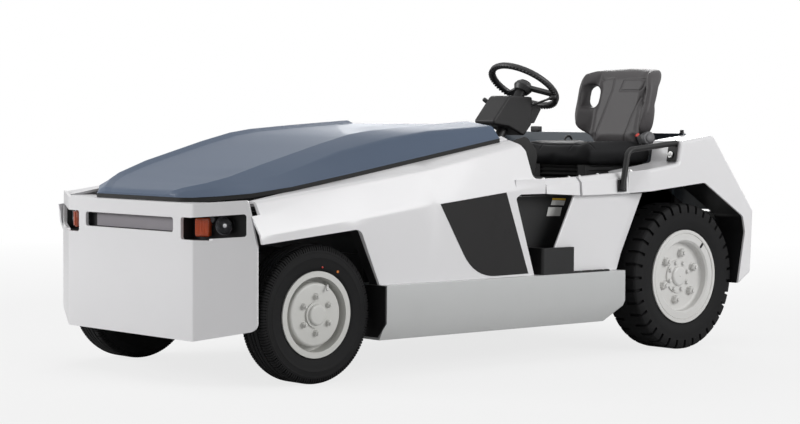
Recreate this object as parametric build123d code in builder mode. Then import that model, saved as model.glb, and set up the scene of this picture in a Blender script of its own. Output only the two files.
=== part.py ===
from build123d import *
import os

os.makedirs("parts", exist_ok=True)

# Airport baggage tug, millimetres.
# The nose points to -Y, the driver's side is +X, and the wheels stand on Z = 0.

# Wheels, axles and steering
front_axle_y = -1160.0
wheelbase = 2207.0
front_tyre_radius = 288.0
front_tyre_width = 155.0
front_wheel_x = 627.0
front_seat_radius = 164.0
front_flange_radius = 180.0
front_disc_radius = 133.0
front_disc_recess = 9.0
rear_tyre_radius = 348.0
rear_tyre_width = 200.0
rear_wheel_x = 668.0
rear_seat_radius = 190.0
rear_flange_radius = 222.0
rear_opening_radius = 166.0
rear_disc_recess = 45.0
rim_wall = 8.0
bead_inset = 12.0
tread_shoulder = 14.0
hub_ring_radius = 54.0
hub_cap_radius = 44.0
hub_cap_rise = 21.0
rear_hub_flange_radius = 80.0
spindle_radius = 26.0
rear_spigot_radius = 40.0
kingpin_x = 560.0
kingpin_radius = 18.0
knuckle_reach = 64.0
knuckle_arm = 22.0
knuckle_half = 34.0
pin_clearance = 0.1
part_gap = 0.5
axle_depth = 80.0
axle_height = 90.0
axle_saddle_half = 150.0
rear_tube_radius = 55.0
rear_tube_end_x = 590.0
diff_radius = 120.0
diff_half_width = 130.0
motor_radius = 120.0
motor_length = 300.0

# Nose: a plate folded back at both sides
nose_front_y = -1615.0
nose_half_width = 460.0
nose_bottom_z = 187.0
nose_top_z = 749.0
nose_wall = 14.0
nose_bend_radius = 30.0
flare_width = 254.0
flare_depth = 134.0
flare_rise = 54.0
flare_corner_radius = 38.0
flare_kink_z = 581.0
flare_top_inset = 42.0
flare_top_rise = 18.0
slot_half_width = 324.0
slot_bottom_z = 627.0
slot_top_z = 688.0
slot_corner_radius = 12.0
slot_lip = 20.0
slot_depth = 24.0
lamp_bottom_z = 600.0
lamp_top_z = 691.0
lamp_inner_x = 377.0
lamp_reach = 240.0
lamp_rise = 20.0
lamp_depth = 60.0
lamp_rim = 8.0
headlamp_radius = 37.0
turn_lamp_radius = 26.0
nose_top_depth = 215.0
nose_top_wall = 12.0

# Frame
beam_outer_x = 755.0
beam_inner_x = 560.0
beam_top_z = 395.0
beam_chamfer_z = 255.0
beam_bottom_z = 160.0
beam_chamfer_x = 706.0
beam_front_y = -825.0
beam_rear_y = 645.0
beam_tail_angle = 70.0
plate_wall = 20.0
belly_top_z = 222.0
frame_half_width = 200.0
front_frame_bottom_z = 400.0
frame_top_z = 515.0
front_bulkhead_y = -790.0
rear_frame_bottom_z = 475.0
floor_wall = 10.0
battery_end_gap = 20.0
battery_side_gap = 80.0
battery_height = 600.0

# Front body
panel_wall = 12.0
crease_x = 740.0
shoulder_x = 692.0
shoulder_radius = 20.0
lower_edge_x = 716.0
seal_line_x = 640.0
seal_flange = 26.0
seal_ref_y = -1190.0
seal_ref_z = 803.0
seal_slope = 0.1665
crease_ref_z = 657.0
crease_slope = 0.107
kink_shoulder_z = 763.5
shoulder_line = ((-1560.0, 758.0), (-1003.0, 822.0), (-540.0, 879.0), (130.0, 1003.0))
panel_front_y = -1470.0
arch_front_z = 590.0
arch_top_y = -955.0
arch_top_z = 637.0
arch_rear_y = -832.0
arch_corner_radius = 45.0
arch_lip_inner_x = 650.0
pillar_foot_y = 85.0
pillar_head_y = -53.0
pillar_head_z = 745.0
pillar_corner_radius = 30.0

# Cockpit and rear body
bulkhead_y = -70.0
bulkhead_wall = 25.0
bulkhead_top_z = 900.0
cowl_rear_y = 45.0
cowl_top_z = 1018.0
cowl_half_width = 606.0
rail_bottom_z = 757.0
rail_top_z = 826.0
rail_inner_x = 690.0
rail_front_y = 130.0
rail_cover_end_y = 352.0
rail_outer_x = 751.0
rail_end_y = 668.0
rail_end_rise = 26.0
rail_gap = 6.0
house_wall_x = 600.0
step_front_y = 118.0
step_rear_y = 318.0
step_post = 34.0
step_corner_radius = 16.0
rear_panel_x = 712.0
rear_panel_bevel = 62.0
seat_base_front_y = 470.0
seat_base_top_z = 820.0
house_inner_x = 550.0
house_floor_z = 760.0
fender_inner_x = 620.0
fender_outer_x = 800.0
fender_edge_radius = 16.0
fender_flare = 96.0
fender_crown_y = 1210.0
fender_crown_z = 1022.0
rear_wall_y = 1195.0
rear_wall_thickness = 20.0
rear_wall_top_z = 1028.0
tail_y = 1490.0
tail_wall = 25.0
tail_bottom_z = 300.0
tail_top_z = 640.0
tail_lamp_x = 520.0
tail_lamp_half = 60.0
pedal_width = 70.0

# Bonnet: stations back from its front edge, with half width, rise of the outer shoulder above
# the seal, place of the crest and rise of the crest
bonnet_wall = 10.0
bonnet_setback = 43.0
bonnet_rear_y = -62.0
bonnet_recess = 15.0
bonnet_recess_run = 46.0
bonnet_crest_radius = 26.0
bonnet_shoulder_radius = 40.0
bonnet_line = (
    (0, 296, 270, 5, 236, 9),
    (12, 322, 296, 17, 256, 27),
    (37, 350, 316, 24, 282, 38),
    (102, 445, 396, 29, 352, 51),
    (182, 560, 470, 32, 400, 63),
    (338, 626, 540, 44, 420, 88),
    (650, 640, 560, 88, 424, 121),
    (809, 640, 568, 94, 424, 133),
    (926, 640, 573, 97, 424, 130),
    (1146, 640, 580, 90, 424, 110),
)
bonnet_rear_shoulder = (590.0, 52.0)
bonnet_rear_crest = (420.0, 74.0)
seal_height = 18.0
seal_width = 22.0

# Seat, hip rails and steering wheel
seat_centre_x = 360.0
seat_half_width = 246.0
seat_front_y = 560.0
cushion_rear_y = 985.0
seat_rail_x = 150.0
seat_rail_half = 25.0
seat_rail_top_z = 884.0
cushion_top_z = 985.0
cushion_dip = 18.0
backrest_top_z = 1343.0
backrest_foot_y = 1048.0
backrest_wall = 78.0
backrest_lean = 95.0
wing_depth = 84.0
hand_hole_width = 58.0
hand_hole_height = 112.0
hand_hole_z = 1205.0
hand_hole_x = 184.0
hip_rail_x = 768.0
hip_rail_radius = 14.0
hip_rail_bend = 45.0
hip_rail_corner_y = 640.0
hip_rail_corner_z = 953.0
hip_plate = 8.0
steering_wheel_y = 365.0
steering_wheel_z = 1252.0
steering_wheel_radius = 177.0
steering_rim_radius = 15.0
steering_hub_radius = 46.0
steering_hub_depth = 38.0
steering_spoke_width = 34.0
steering_lean = 34.0
column_half_width = 66.0
column_box_half_width = 34.0
column_tube_radius = 24.0
column_edge_radius = 14.0

# Tow coupler
coupler_half_width = 60.0
coupler_plate = 20.0
coupler_rear_y = 1615.0
coupler_bottom_z = 330.0
coupler_top_z = 490.0
tow_bore_radius = 16.0
tow_bore_y = 1572.0

rear_axle_y = front_axle_y + wheelbase
front_wheel_z = front_tyre_radius
rear_wheel_z = rear_tyre_radius
nose_inner_y = nose_front_y + nose_wall
bonnet_front_y = nose_front_y + bonnet_setback
bulkhead_rear_y = bulkhead_y + bulkhead_wall
rear_wall_back_y = rear_wall_y + rear_wall_thickness
tail_back_y = tail_y + tail_wall
flare_end_x = nose_half_width + flare_width
flare_end_y = nose_front_y + flare_depth
slot_mid_z = (slot_bottom_z + slot_top_z) / 2
slot_height = slot_top_z - slot_bottom_z
lamp_mid_z = (lamp_bottom_z + lamp_top_z) / 2
lamp_height = lamp_top_z - lamp_bottom_z


def seal_z(y):
    """Height of the line where bonnet and body meet."""
    return max(seal_ref_z + seal_slope * (y - seal_ref_y), nose_top_z)


def crease_z(y):
    """Height of the widest line along the front side panels."""
    return crease_ref_z + crease_slope * (y - seal_ref_y)


def block(x, y, z, mode=Mode.ADD):
    """A block between two corners, in the current builder."""
    middle = ((x[0] + x[1]) / 2, (y[0] + y[1]) / 2, (z[0] + z[1]) / 2)
    with Locations(middle):
        Box(x[1] - x[0], y[1] - y[0], z[1] - z[0], mode=mode)


def save(piece, node):
    """Label one piece and write it."""
    piece.label = node
    export_step(piece, f"parts/{node}.step")


def save_pair(piece, node):
    """Write the left piece and its mirror image."""
    save(piece, f"{node}_left")
    save(mirror(piece, about=Plane.YZ), f"{node}_right")


# Frame: box beams in front and behind, a belly plate and two side beams
with BuildPart() as front_frame:
    block((-frame_half_width, frame_half_width), (nose_inner_y, front_bulkhead_y), (front_frame_bottom_z, frame_top_z))
save(front_frame.part, "front_frame")

tray_rear_y = seat_base_front_y + plate_wall
with BuildPart() as battery_tray:
    block((-beam_inner_x, beam_inner_x), (front_bulkhead_y, tray_rear_y), (belly_top_z - plate_wall, belly_top_z))
    block((-beam_inner_x, beam_inner_x), (front_bulkhead_y, front_bulkhead_y + plate_wall), (belly_top_z, frame_top_z))
save(battery_tray.part, "battery_tray")

with BuildPart() as rear_frame:
    block((-frame_half_width, frame_half_width), (seat_base_front_y, tail_y), (rear_frame_bottom_z, frame_top_z))
    block((-frame_half_width, frame_half_width), (seat_base_front_y, tray_rear_y), (belly_top_z, frame_top_z))
save(rear_frame.part, "rear_frame")

with BuildPart() as side_beam:
    with BuildSketch(Plane.XZ.offset(-beam_rear_y)):
        with BuildLine():
            Polyline(
                (beam_inner_x, beam_bottom_z),
                (beam_chamfer_x, beam_bottom_z),
                (beam_outer_x, beam_chamfer_z),
                (beam_outer_x, beam_top_z),
                (beam_inner_x, beam_top_z),
                close=True,
            )
        make_face()
    extrude(amount=beam_rear_y - beam_front_y)
    bottom_ends = side_beam.edges().filter_by(Axis.X).group_by(Axis.Z)[0]
    chamfer(bottom_ends.sort_by(Axis.Y)[-1], beam_chamfer_z - beam_bottom_z, beam_tail_angle)
    mirror(about=Plane.YZ)
save(side_beam.part, "side_beams")

# Nose: the folded plate, cut to the flare's outline, with a slot and a lamp opening round each fold
flare = Vector(flare_width, flare_depth, 0)
flare_plane = Plane(origin=(nose_half_width, nose_front_y, 0), x_dir=flare, z_dir=(flare.Y, -flare.X, 0))
plan_corners = [
    (-flare_end_x, flare_end_y),
    (-nose_half_width, nose_front_y),
    (nose_half_width, nose_front_y),
    (flare_end_x, flare_end_y),
]


fold_run = (flare.length - flare_width) / flare_depth


def inner_flare_point(along, depth=nose_wall):
    """A point at one depth behind the flared face, in plan."""
    place = flare_plane.from_local_coords((along, 0, -depth))
    return (place.X, place.Y)


with BuildPart() as nose_plate:
    with BuildSketch(Plane.XY.offset(nose_bottom_z)):
        with BuildLine():
            plan_line = FilletPolyline(*plan_corners, radius=nose_bend_radius)
            offset(plan_line, amount=nose_wall, side=Side.LEFT)
        make_face()
    extrude(amount=nose_top_z + flare_top_rise - nose_bottom_z)
    block((-nose_half_width, nose_half_width), (nose_front_y - 1, flare_end_y), (nose_top_z, nose_top_z + flare_top_rise + 1),
          Mode.SUBTRACT)
    with BuildSketch(flare_plane.offset(nose_wall)) as flare_waste:
        with Locations((flare.length / 2 + nose_bend_radius, (nose_bottom_z + nose_top_z) / 2)):
            Rectangle(flare.length + 2 * nose_bend_radius, 2 * nose_top_z)
        with BuildLine():
            FilletPolyline(
                (-nose_bend_radius, nose_bottom_z),
                (0, nose_bottom_z),
                (flare.length, nose_bottom_z + flare_rise),
                (flare.length, flare_kink_z),
                (flare.length - flare_top_inset, nose_top_z + flare_top_rise),
                (0, nose_top_z),
                (-nose_bend_radius, nose_top_z),
                radius=[0, 0, flare_corner_radius, 0, 12, 0, 0],
                close=True,
            )
        make_face(mode=Mode.SUBTRACT)
    extrude(amount=-3 * nose_wall, mode=Mode.SUBTRACT)
    mirror(about=Plane.YZ, mode=Mode.INTERSECT)
    with BuildSketch(Plane.XZ.offset(-nose_front_y)):
        with Locations((0, slot_mid_z)):
            RectangleRounded(2 * slot_half_width, slot_height, slot_corner_radius)
    extrude(amount=-nose_wall, mode=Mode.SUBTRACT)
    with BuildSketch(Plane.XZ.offset(-nose_front_y)):
        with Locations((nose_half_width, lamp_mid_z), (-nose_half_width, lamp_mid_z)):
            RectangleRounded(2 * (nose_half_width - lamp_inner_x), lamp_height, slot_corner_radius)
    extrude(amount=-nose_wall - nose_bend_radius, mode=Mode.SUBTRACT)
    with BuildSketch(flare_plane.offset(nose_wall)):
        with BuildLine():
            FilletPolyline(
                (-nose_wall, lamp_bottom_z),
                (lamp_reach, lamp_bottom_z + lamp_rise),
                (lamp_reach, lamp_top_z + lamp_rise),
                (-nose_wall, lamp_top_z),
                radius=[0, slot_corner_radius, slot_corner_radius, 0],
                close=True,
            )
        make_face()
    extrude(amount=-3 * nose_wall, mode=Mode.SUBTRACT)
    mirror(about=Plane.YZ, mode=Mode.INTERSECT)
save(nose_plate.part, "nose_plate")

with BuildPart() as nose_liner:
    block((-slot_half_width - slot_lip, slot_half_width + slot_lip), (nose_inner_y, nose_inner_y + slot_depth),
          (slot_bottom_z - slot_lip, slot_top_z + slot_lip))
    with BuildSketch(Plane.XZ.offset(-nose_inner_y)):
        with Locations((0, slot_mid_z)):
            RectangleRounded(2 * slot_half_width, slot_height, slot_corner_radius)
    extrude(amount=-slot_depth * 3 / 4, mode=Mode.SUBTRACT)
save(nose_liner.part, "nose_liner")

# A louvred panel fills most of the slot
with BuildPart() as grille_panel:
    block((-slot_half_width + 50, slot_half_width - 4), (nose_inner_y + 12, nose_inner_y + slot_depth * 3 / 4),
          (slot_bottom_z + 3, slot_top_z - 3))
save(grille_panel.part, "grille_panel")

# Lamp housings: boxes folded round the corner behind each opening
with BuildPart() as lamp_housing:
    housing_inner_x = lamp_inner_x - lamp_rim
    with BuildSketch(Plane.XY.offset(lamp_bottom_z - lamp_rim)):
        with BuildLine():
            Polyline(
                (housing_inner_x, nose_inner_y + part_gap),
                inner_flare_point(fold_run * (nose_wall + part_gap), nose_wall + part_gap),
                inner_flare_point(lamp_reach + lamp_rim, nose_wall + part_gap),
                inner_flare_point(lamp_reach + lamp_rim, nose_wall + lamp_depth),
                inner_flare_point(fold_run * (nose_wall + lamp_depth), nose_wall + lamp_depth),
                (housing_inner_x, nose_inner_y + lamp_depth),
                close=True,
            )
        make_face()
    extrude(amount=lamp_height + lamp_rise + 2 * lamp_rim)
    with BuildSketch(Plane.XY.offset(lamp_bottom_z)):
        with BuildLine():
            Polyline(
                (lamp_inner_x, nose_inner_y - 1),
                inner_flare_point(fold_run * (nose_wall - 1), nose_wall - 1),
                inner_flare_point(lamp_reach, nose_wall - 1),
                inner_flare_point(lamp_reach, nose_wall + lamp_depth - lamp_rim),
                inner_flare_point(fold_run * (nose_wall + lamp_depth - lamp_rim), nose_wall + lamp_depth - lamp_rim),
                (lamp_inner_x, nose_inner_y + lamp_depth - lamp_rim),
                close=True,
            )
        make_face()
    extrude(amount=lamp_height + lamp_rise, mode=Mode.SUBTRACT)
    mirror(about=Plane.YZ)
save(lamp_housing.part, "lamp_housings")

lamp_floor = flare_plane.offset(-nose_wall - lamp_depth + lamp_rim)
with BuildPart() as headlamps:
    with BuildSketch(Plane(lamp_floor.from_local_coords((148, 664, 0)), x_dir=lamp_floor.x_dir, z_dir=lamp_floor.z_dir)):
        Circle(headlamp_radius)
    extrude(amount=34, taper=-8)
    fillet(headlamps.faces().sort_by(SortBy.DISTANCE)[-1].edges(), 5)
    mirror(about=Plane.YZ)
save(headlamps.part, "headlamps")

with BuildPart() as turn_lamps:
    with BuildSketch(Plane(lamp_floor.from_local_coords((56, 652, 0)), x_dir=lamp_floor.x_dir, z_dir=lamp_floor.z_dir)):
        Circle(turn_lamp_radius)
    extrude(amount=42)
    mirror(about=Plane.YZ)
save(turn_lamps.part, "turn_lamps")


# Front side panels: a sheet with a ledge, a rounded shoulder and a widest line, with a deep
# return round the wheel arch
def side_section(y, shoulder):
    """Section of the side sheet in x and z at one station."""
    top = seal_z(y)
    return FilletPolyline(
        (lower_edge_x, beam_top_z),
        (crease_x, crease_z(y)),
        (shoulder_x, shoulder),
        (seal_line_x, top),
        (seal_line_x - seal_flange, top),
        (seal_line_x - seal_flange, top - panel_wall),
        (seal_line_x, top - panel_wall),
        (shoulder_x - panel_wall / 2, shoulder - panel_wall),
        (crease_x - panel_wall, crease_z(y)),
        (lower_edge_x - panel_wall, beam_top_z),
        radius=[0, 0, shoulder_radius, 0, 0, 0, 0, 8, 0, 0],
        close=True,
    )


def filled_section(y):
    """Section of all that lies behind the side sheet below its widest line."""
    return Polyline(
        (arch_lip_inner_x, beam_top_z),
        (lower_edge_x, beam_top_z),
        (crease_x, crease_z(y)),
        (arch_lip_inner_x, crease_z(y)),
        close=True,
    )


seal_kink_y = seal_ref_y + (nose_top_z - seal_ref_z) / seal_slope
side_stations = (shoulder_line[0], (seal_kink_y, kink_shoulder_z), *shoulder_line[1:])
with BuildPart() as arch_lip:
    for y in (arch_top_y - 60, arch_rear_y + 60):
        with BuildSketch(Plane.XZ.offset(-y)):
            with BuildLine():
                filled_section(y)
            make_face()
    loft(ruled=True)
    with BuildSketch(Plane.YZ.offset(seal_line_x - 60)):
        with BuildLine():
            Polyline(
                (arch_top_y + 8, arch_top_z),
                (arch_rear_y, beam_top_z),
                (arch_rear_y + panel_wall, beam_top_z),
                (arch_top_y + 8 + panel_wall, arch_top_z),
                close=True,
            )
        make_face()
    extrude(amount=200, mode=Mode.INTERSECT)

with BuildPart() as front_side:
    for y, shoulder in side_stations:
        with BuildSketch(Plane.XZ.offset(-y)):
            with BuildLine():
                side_section(y, shoulder)
            make_face()
    loft(ruled=True)
    block((rail_inner_x, crease_x - 3), (pillar_head_y, rail_front_y), (rail_bottom_z + 4, rail_top_z))
    with BuildSketch(Plane.YZ.offset(seal_line_x - 60)):
        with BuildLine():
            FilletPolyline(
                (panel_front_y - 35, 700),
                (panel_front_y, arch_front_z),
                (arch_top_y, arch_top_z),
                (arch_rear_y, beam_top_z),
                (pillar_foot_y, beam_top_z),
                (pillar_head_y, pillar_head_z),
                (pillar_head_y + 30, rail_bottom_z + 4),
                (rail_front_y, rail_bottom_z + 4),
                (rail_front_y, rail_top_z),
                (60, rail_top_z + 4),
                (cowl_rear_y - 4, 954),
                (-13, cowl_top_z - 8),
                (-60, seal_z(-60) + 1),
                (panel_front_y - 80, seal_z(panel_front_y) + 40),
                radius=[0, 0, arch_corner_radius, 0, 0, 12, 12, 0, 0, pillar_corner_radius, 20, 16, 0, 0],
                close=True,
            )
        make_face()
    extrude(amount=200, mode=Mode.INTERSECT)
    add(arch_lip.part)
    with BuildSketch(Plane.XY.offset(nose_bottom_z)):
        with BuildLine():
            Polyline(
                (seal_line_x - 80, nose_front_y - 100),
                (flare_end_x + part_gap, nose_front_y - 100),
                inner_flare_point(flare.length + 6, nose_wall + 1),
                inner_flare_point(flare.length / 2, nose_wall + 1),
                close=True,
            )
        make_face()
    extrude(amount=nose_top_z, mode=Mode.SUBTRACT)
    mirror(about=Plane.YZ)
save(front_side.part, "front_sides")

# Bonnet outline in plan, shared by the seal and the plate in front of it
bonnet_edge = [(half, bonnet_front_y + back) for back, half, *rest in bonnet_line]
bonnet_edge.append((bonnet_edge[-1][0], bonnet_rear_y))
bonnet_plan = make_face(Polyline(*bonnet_edge, *[(-x, y) for x, y in reversed(bonnet_edge)], close=True))
bonnet_mouth = extrude(offset(bonnet_plan, amount=-seal_width - 8), amount=nose_top_z + 1)
seal_ring = extrude(bonnet_plan - offset(bonnet_plan, amount=-seal_width), amount=cowl_top_z + 100)

top_plate_x = seal_line_x - seal_flange - 2
plate_run = (top_plate_x - nose_half_width) / flare_width * flare.length
plate_corner = inner_flare_point(plate_run, nose_wall + 1)
with BuildPart() as nose_top:
    with BuildSketch(Plane.XY.offset(nose_top_z - nose_top_wall)):
        with BuildLine():
            Polyline(
                (-nose_half_width + nose_wall, nose_inner_y),
                (nose_half_width - nose_wall, nose_inner_y),
                plate_corner,
                (plate_corner[0], nose_front_y + nose_top_depth),
                (-plate_corner[0], nose_front_y + nose_top_depth),
                (-plate_corner[0], plate_corner[1]),
                close=True,
            )
        make_face()
    extrude(amount=nose_top_wall)
    add(bonnet_mouth, mode=Mode.SUBTRACT)
save(nose_top.part, "nose_top")

# Battery under the bonnet, behind the front bulkhead
with BuildPart() as battery:
    block((battery_side_gap - beam_inner_x, beam_inner_x - battery_side_gap),
          (front_bulkhead_y + plate_wall + battery_end_gap, bulkhead_y - battery_end_gap),
          (belly_top_z, belly_top_z + battery_height))
save(battery.part, "battery")

# Cockpit
with BuildPart() as dash_bulkhead:
    block((-house_wall_x, house_wall_x), (bulkhead_y, bulkhead_rear_y), (beam_top_z, bulkhead_top_z))
    block((-beam_inner_x, beam_inner_x), (bulkhead_y, bulkhead_rear_y), (belly_top_z, beam_top_z))
save(dash_bulkhead.part, "dash_bulkhead")

with BuildPart() as cowl:
    with BuildSketch(Plane.YZ.offset(-cowl_half_width)):
        with BuildLine():
            FilletPolyline(
                (bulkhead_y + 15, bulkhead_top_z),
                (bulkhead_y + 15, cowl_top_z - 12),
                (-20, cowl_top_z),
                (20, cowl_top_z - 14),
                (cowl_rear_y, 954),
                (cowl_rear_y, bulkhead_top_z),
                radius=[0, 6, 14, 20, 10, 0],
                close=True,
            )
        make_face()
    extrude(amount=2 * cowl_half_width)
save(cowl.part, "cowl")

with BuildPart() as floor_plate:
    block((-house_wall_x, house_wall_x), (bulkhead_rear_y, seat_base_front_y), (frame_top_z - floor_wall, frame_top_z))
save(floor_plate.part, "floor_plate")

with BuildPart() as pedals:
    for x in (seat_centre_x + 80, seat_centre_x - 110):
        with BuildSketch(Plane.YZ.offset(x - pedal_width / 2)):
            with BuildLine():
                Polyline((bulkhead_rear_y, 590), (40, 560), (70, 600), (62, 604), (36, 570), (bulkhead_rear_y, 600),
                         close=True)
            make_face()
        extrude(amount=pedal_width)
save(pedals.part, "pedals")

with BuildPart() as step_well:
    block((house_wall_x, house_wall_x + 10), (bulkhead_rear_y, seat_base_front_y), (beam_top_z, rail_bottom_z - 12))
    mirror(about=Plane.YZ)
save(step_well.part, "step_wells")

# The step's box stands on the side beam, open inwards, with a rounded front corner
with BuildPart() as side_step:
    step_outer_x = beam_outer_x - 17
    block((rear_panel_x, step_outer_x), (step_front_y, step_rear_y), (beam_top_z, frame_top_z))
    block((house_wall_x + 10, step_outer_x), (step_front_y, step_front_y + step_post), (beam_top_z, frame_top_z))
    fillet(side_step.edges().filter_by(Axis.Z).group_by(Axis.X)[-1].sort_by(Axis.Y)[0], step_corner_radius)
    mirror(about=Plane.YZ)
save(side_step.part, "side_steps")

panel_head_z = rail_bottom_z - 8.3
with BuildPart() as rear_panel:
    for z, front, rear in ((beam_top_z, 157, 640), (470, 197, 668), (panel_head_z, 344, 812)):
        with BuildSketch(Plane.XY.offset(z)):
            with BuildLine():
                Polyline(
                    (rear_panel_x - panel_wall, front),
                    (rear_panel_x - 4, front),
                    (rear_panel_x, front + 8),
                    (rear_panel_x, rear - rear_panel_bevel),
                    (rear_panel_x - panel_wall + 3, rear),
                    (rear_panel_x - panel_wall, rear),
                    close=True,
                )
            make_face()
    loft(ruled=True)
    block((house_wall_x + 10, rear_panel_x), (seat_base_front_y - panel_wall, seat_base_front_y),
          (beam_top_z, rail_bottom_z - 12))
    mirror(about=Plane.YZ)
save(rear_panel.part, "rear_panels")

# Rails along the cockpit sides: a bolted cover piece, then the fender's own rail


def rail_section(outer, low, high):
    """Section of a side rail in x and z."""
    return Polyline((rail_inner_x, low), (outer, low), (outer - 6, high - 25), (outer - 30, high), (rail_inner_x, high),
                    close=True)


with BuildPart() as rail_cover:
    for y, low, high in ((rail_front_y + rail_gap, rail_bottom_z + 3, rail_top_z),
                         (rail_cover_end_y, rail_bottom_z - 8, rail_top_z + 6)):
        with BuildSketch(Plane.XZ.offset(-y)):
            with BuildLine():
                rail_section(rail_outer_x - 8, low, high)
            make_face()
    loft(ruled=True)
    mirror(about=Plane.YZ)
save(rail_cover.part, "rail_covers")

# Rear fenders, solid mouldings over each rear wheel
with BuildPart() as rear_fender:
    with BuildSketch(Plane.YZ.offset(fender_inner_x)):
        with BuildLine():
            FilletPolyline(
                (rail_end_y - 6, rail_bottom_z - 5),
                (1148, 795),
                (1433, 627),
                (1450, 549),
                (1402, 301),
                (1417, 301),
                (1500, 352),
                (1514, 654),
                (fender_crown_y, fender_crown_z),
                (979, 994),
                (960, 891),
                (875, 878),
                (rail_end_y, rail_top_z + rail_end_rise),
                radius=[0, 40, 30, 60, 0, 5, 26, 26, 40, 18, 16, 30, 0],
                close=True,
            )
        make_face()
    extrude(amount=fender_outer_x - fender_inner_x)
    outer_edges = rear_fender.faces().sort_by(Axis.X)[-1].edges()
    fillet(outer_edges.filter_by(lambda edge: edge.center().Z > rail_top_z or edge.center().Y > tail_y), fender_edge_radius)
    with BuildSketch(Plane.XY.offset(rail_bottom_z - 60)):
        with BuildLine():
            Polyline((rail_outer_x, rail_end_y - 30), (fender_outer_x + 1, rail_end_y - 30),
                     (fender_outer_x + 1, rail_end_y + fender_flare), (fender_outer_x, rail_end_y + fender_flare),
                     (rail_outer_x, rail_end_y + 8), close=True)
        make_face()
    extrude(amount=220, mode=Mode.SUBTRACT)
    for y, low, high in ((rail_cover_end_y + rail_gap, rail_bottom_z - 8, rail_top_z + 6),
                         (rail_end_y + 8, rail_bottom_z - 5, rail_top_z + rail_end_rise)):
        with BuildSketch(Plane.XZ.offset(-y)):
            with BuildLine():
                rail_section(rail_outer_x, low, high)
            make_face()
    loft(ruled=True)
    mirror(about=Plane.YZ)
save(rear_fender.part, "rear_fenders")

# Seat deck between the fenders, closed all round
with BuildPart() as seat_base:
    block((-house_inner_x, house_inner_x), (seat_base_front_y, rear_wall_y), (frame_top_z, house_floor_z))
    block((-fender_inner_x, fender_inner_x), (seat_base_front_y, rear_wall_y), (house_floor_z, seat_base_top_z))
    fillet(seat_base.edges().filter_by(Axis.X).group_by(Axis.Z)[-1].sort_by(Axis.Y)[0], 10)
save(seat_base.part, "seat_base")

with BuildPart() as rear_wall:
    block((-house_inner_x, house_inner_x), (rear_wall_y, rear_wall_back_y), (frame_top_z, house_floor_z))
    block((-fender_inner_x, fender_inner_x), (rear_wall_y, rear_wall_back_y), (house_floor_z, rear_wall_top_z))
save(rear_wall.part, "rear_wall")

with BuildPart() as rear_deck:
    with BuildSketch(Plane.YZ.offset(-fender_inner_x)):
        with BuildLine():
            Polyline((rear_wall_back_y, rear_wall_top_z - 20), (tail_back_y, tail_top_z + 12),
                     (tail_back_y - 16, tail_top_z + 8), (rear_wall_back_y, rear_wall_top_z - 38), close=True)
        make_face()
    extrude(amount=2 * fender_inner_x)
save(rear_deck.part, "rear_deck")

with BuildPart() as tail_plate:
    block((-fender_inner_x, fender_inner_x), (tail_y, tail_back_y), (tail_bottom_z, tail_top_z))
    fillet(tail_plate.edges().filter_by(Axis.Y).group_by(Axis.Z)[0], 40)
save(tail_plate.part, "tail_plate")

with BuildPart() as tail_lamps:
    for x in (-tail_lamp_x, tail_lamp_x):
        block((x - tail_lamp_half, x + tail_lamp_half), (tail_back_y, tail_back_y + 22), (540, 600))
    fillet(tail_lamps.edges().filter_by(Axis.Y), 10)
save(tail_lamps.part, "tail_lamps")

# Tow coupler: three shelves on a back plate, bored for a drop pin
with BuildPart() as tow_coupler:
    block((-coupler_half_width - 20, coupler_half_width + 20), (tail_back_y, tail_back_y + coupler_plate),
          (coupler_bottom_z - 20, coupler_top_z + 20))
    for z in (coupler_bottom_z, (coupler_bottom_z + coupler_top_z - coupler_plate) / 2, coupler_top_z - coupler_plate):
        with BuildSketch(Plane.XY.offset(z)):
            with Locations((0, (tail_back_y + tow_bore_y) / 2)):
                Rectangle(2 * coupler_half_width, tow_bore_y - tail_back_y)
            with Locations((0, tow_bore_y)):
                Circle(coupler_rear_y - tow_bore_y)
                Circle(tow_bore_radius, mode=Mode.SUBTRACT)
        extrude(amount=coupler_plate)
save(tow_coupler.part, "tow_coupler")

# Seat
with BuildPart() as seat_rails:
    for x in (seat_centre_x - seat_rail_x, seat_centre_x + seat_rail_x):
        block((x - seat_rail_half, x + seat_rail_half), (seat_front_y + 40, backrest_foot_y - 28),
              (seat_base_top_z, seat_rail_top_z))
save(seat_rails.part, "seat_rails")

seat_section = Plane(origin=(seat_centre_x, seat_front_y, 0), x_dir=(1, 0, 0), z_dir=(0, -1, 0))

# The cushion has a rolled front edge, and side bolsters that stand above its middle
with BuildPart() as seat_cushion:
    with BuildSketch(seat_section):
        with BuildLine():
            FilletPolyline(
                (-seat_half_width + 10, seat_rail_top_z + part_gap),
                (seat_half_width - 10, seat_rail_top_z + part_gap),
                (seat_half_width, cushion_top_z - 30),
                (seat_half_width - 50, cushion_top_z),
                (seat_half_width - 105, cushion_top_z - cushion_dip),
                (105 - seat_half_width, cushion_top_z - cushion_dip),
                (50 - seat_half_width, cushion_top_z),
                (-seat_half_width, cushion_top_z - 30),
                radius=[14, 14, 24, 24, 30, 30, 24, 24],
                close=True,
            )
        make_face()
    extrude(amount=seat_front_y - cushion_rear_y)
    with BuildSketch(Plane.YZ.offset(seat_centre_x - seat_half_width)):
        with BuildLine():
            FilletPolyline(
                (seat_front_y, seat_rail_top_z),
                (cushion_rear_y, seat_rail_top_z),
                (cushion_rear_y, cushion_top_z),
                (seat_front_y, cushion_top_z),
                radius=[20, 0, 12, 46],
                close=True,
            )
        make_face()
    extrude(amount=2 * seat_half_width, mode=Mode.INTERSECT)
save(seat_cushion.part, "seat_cushion")

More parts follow.
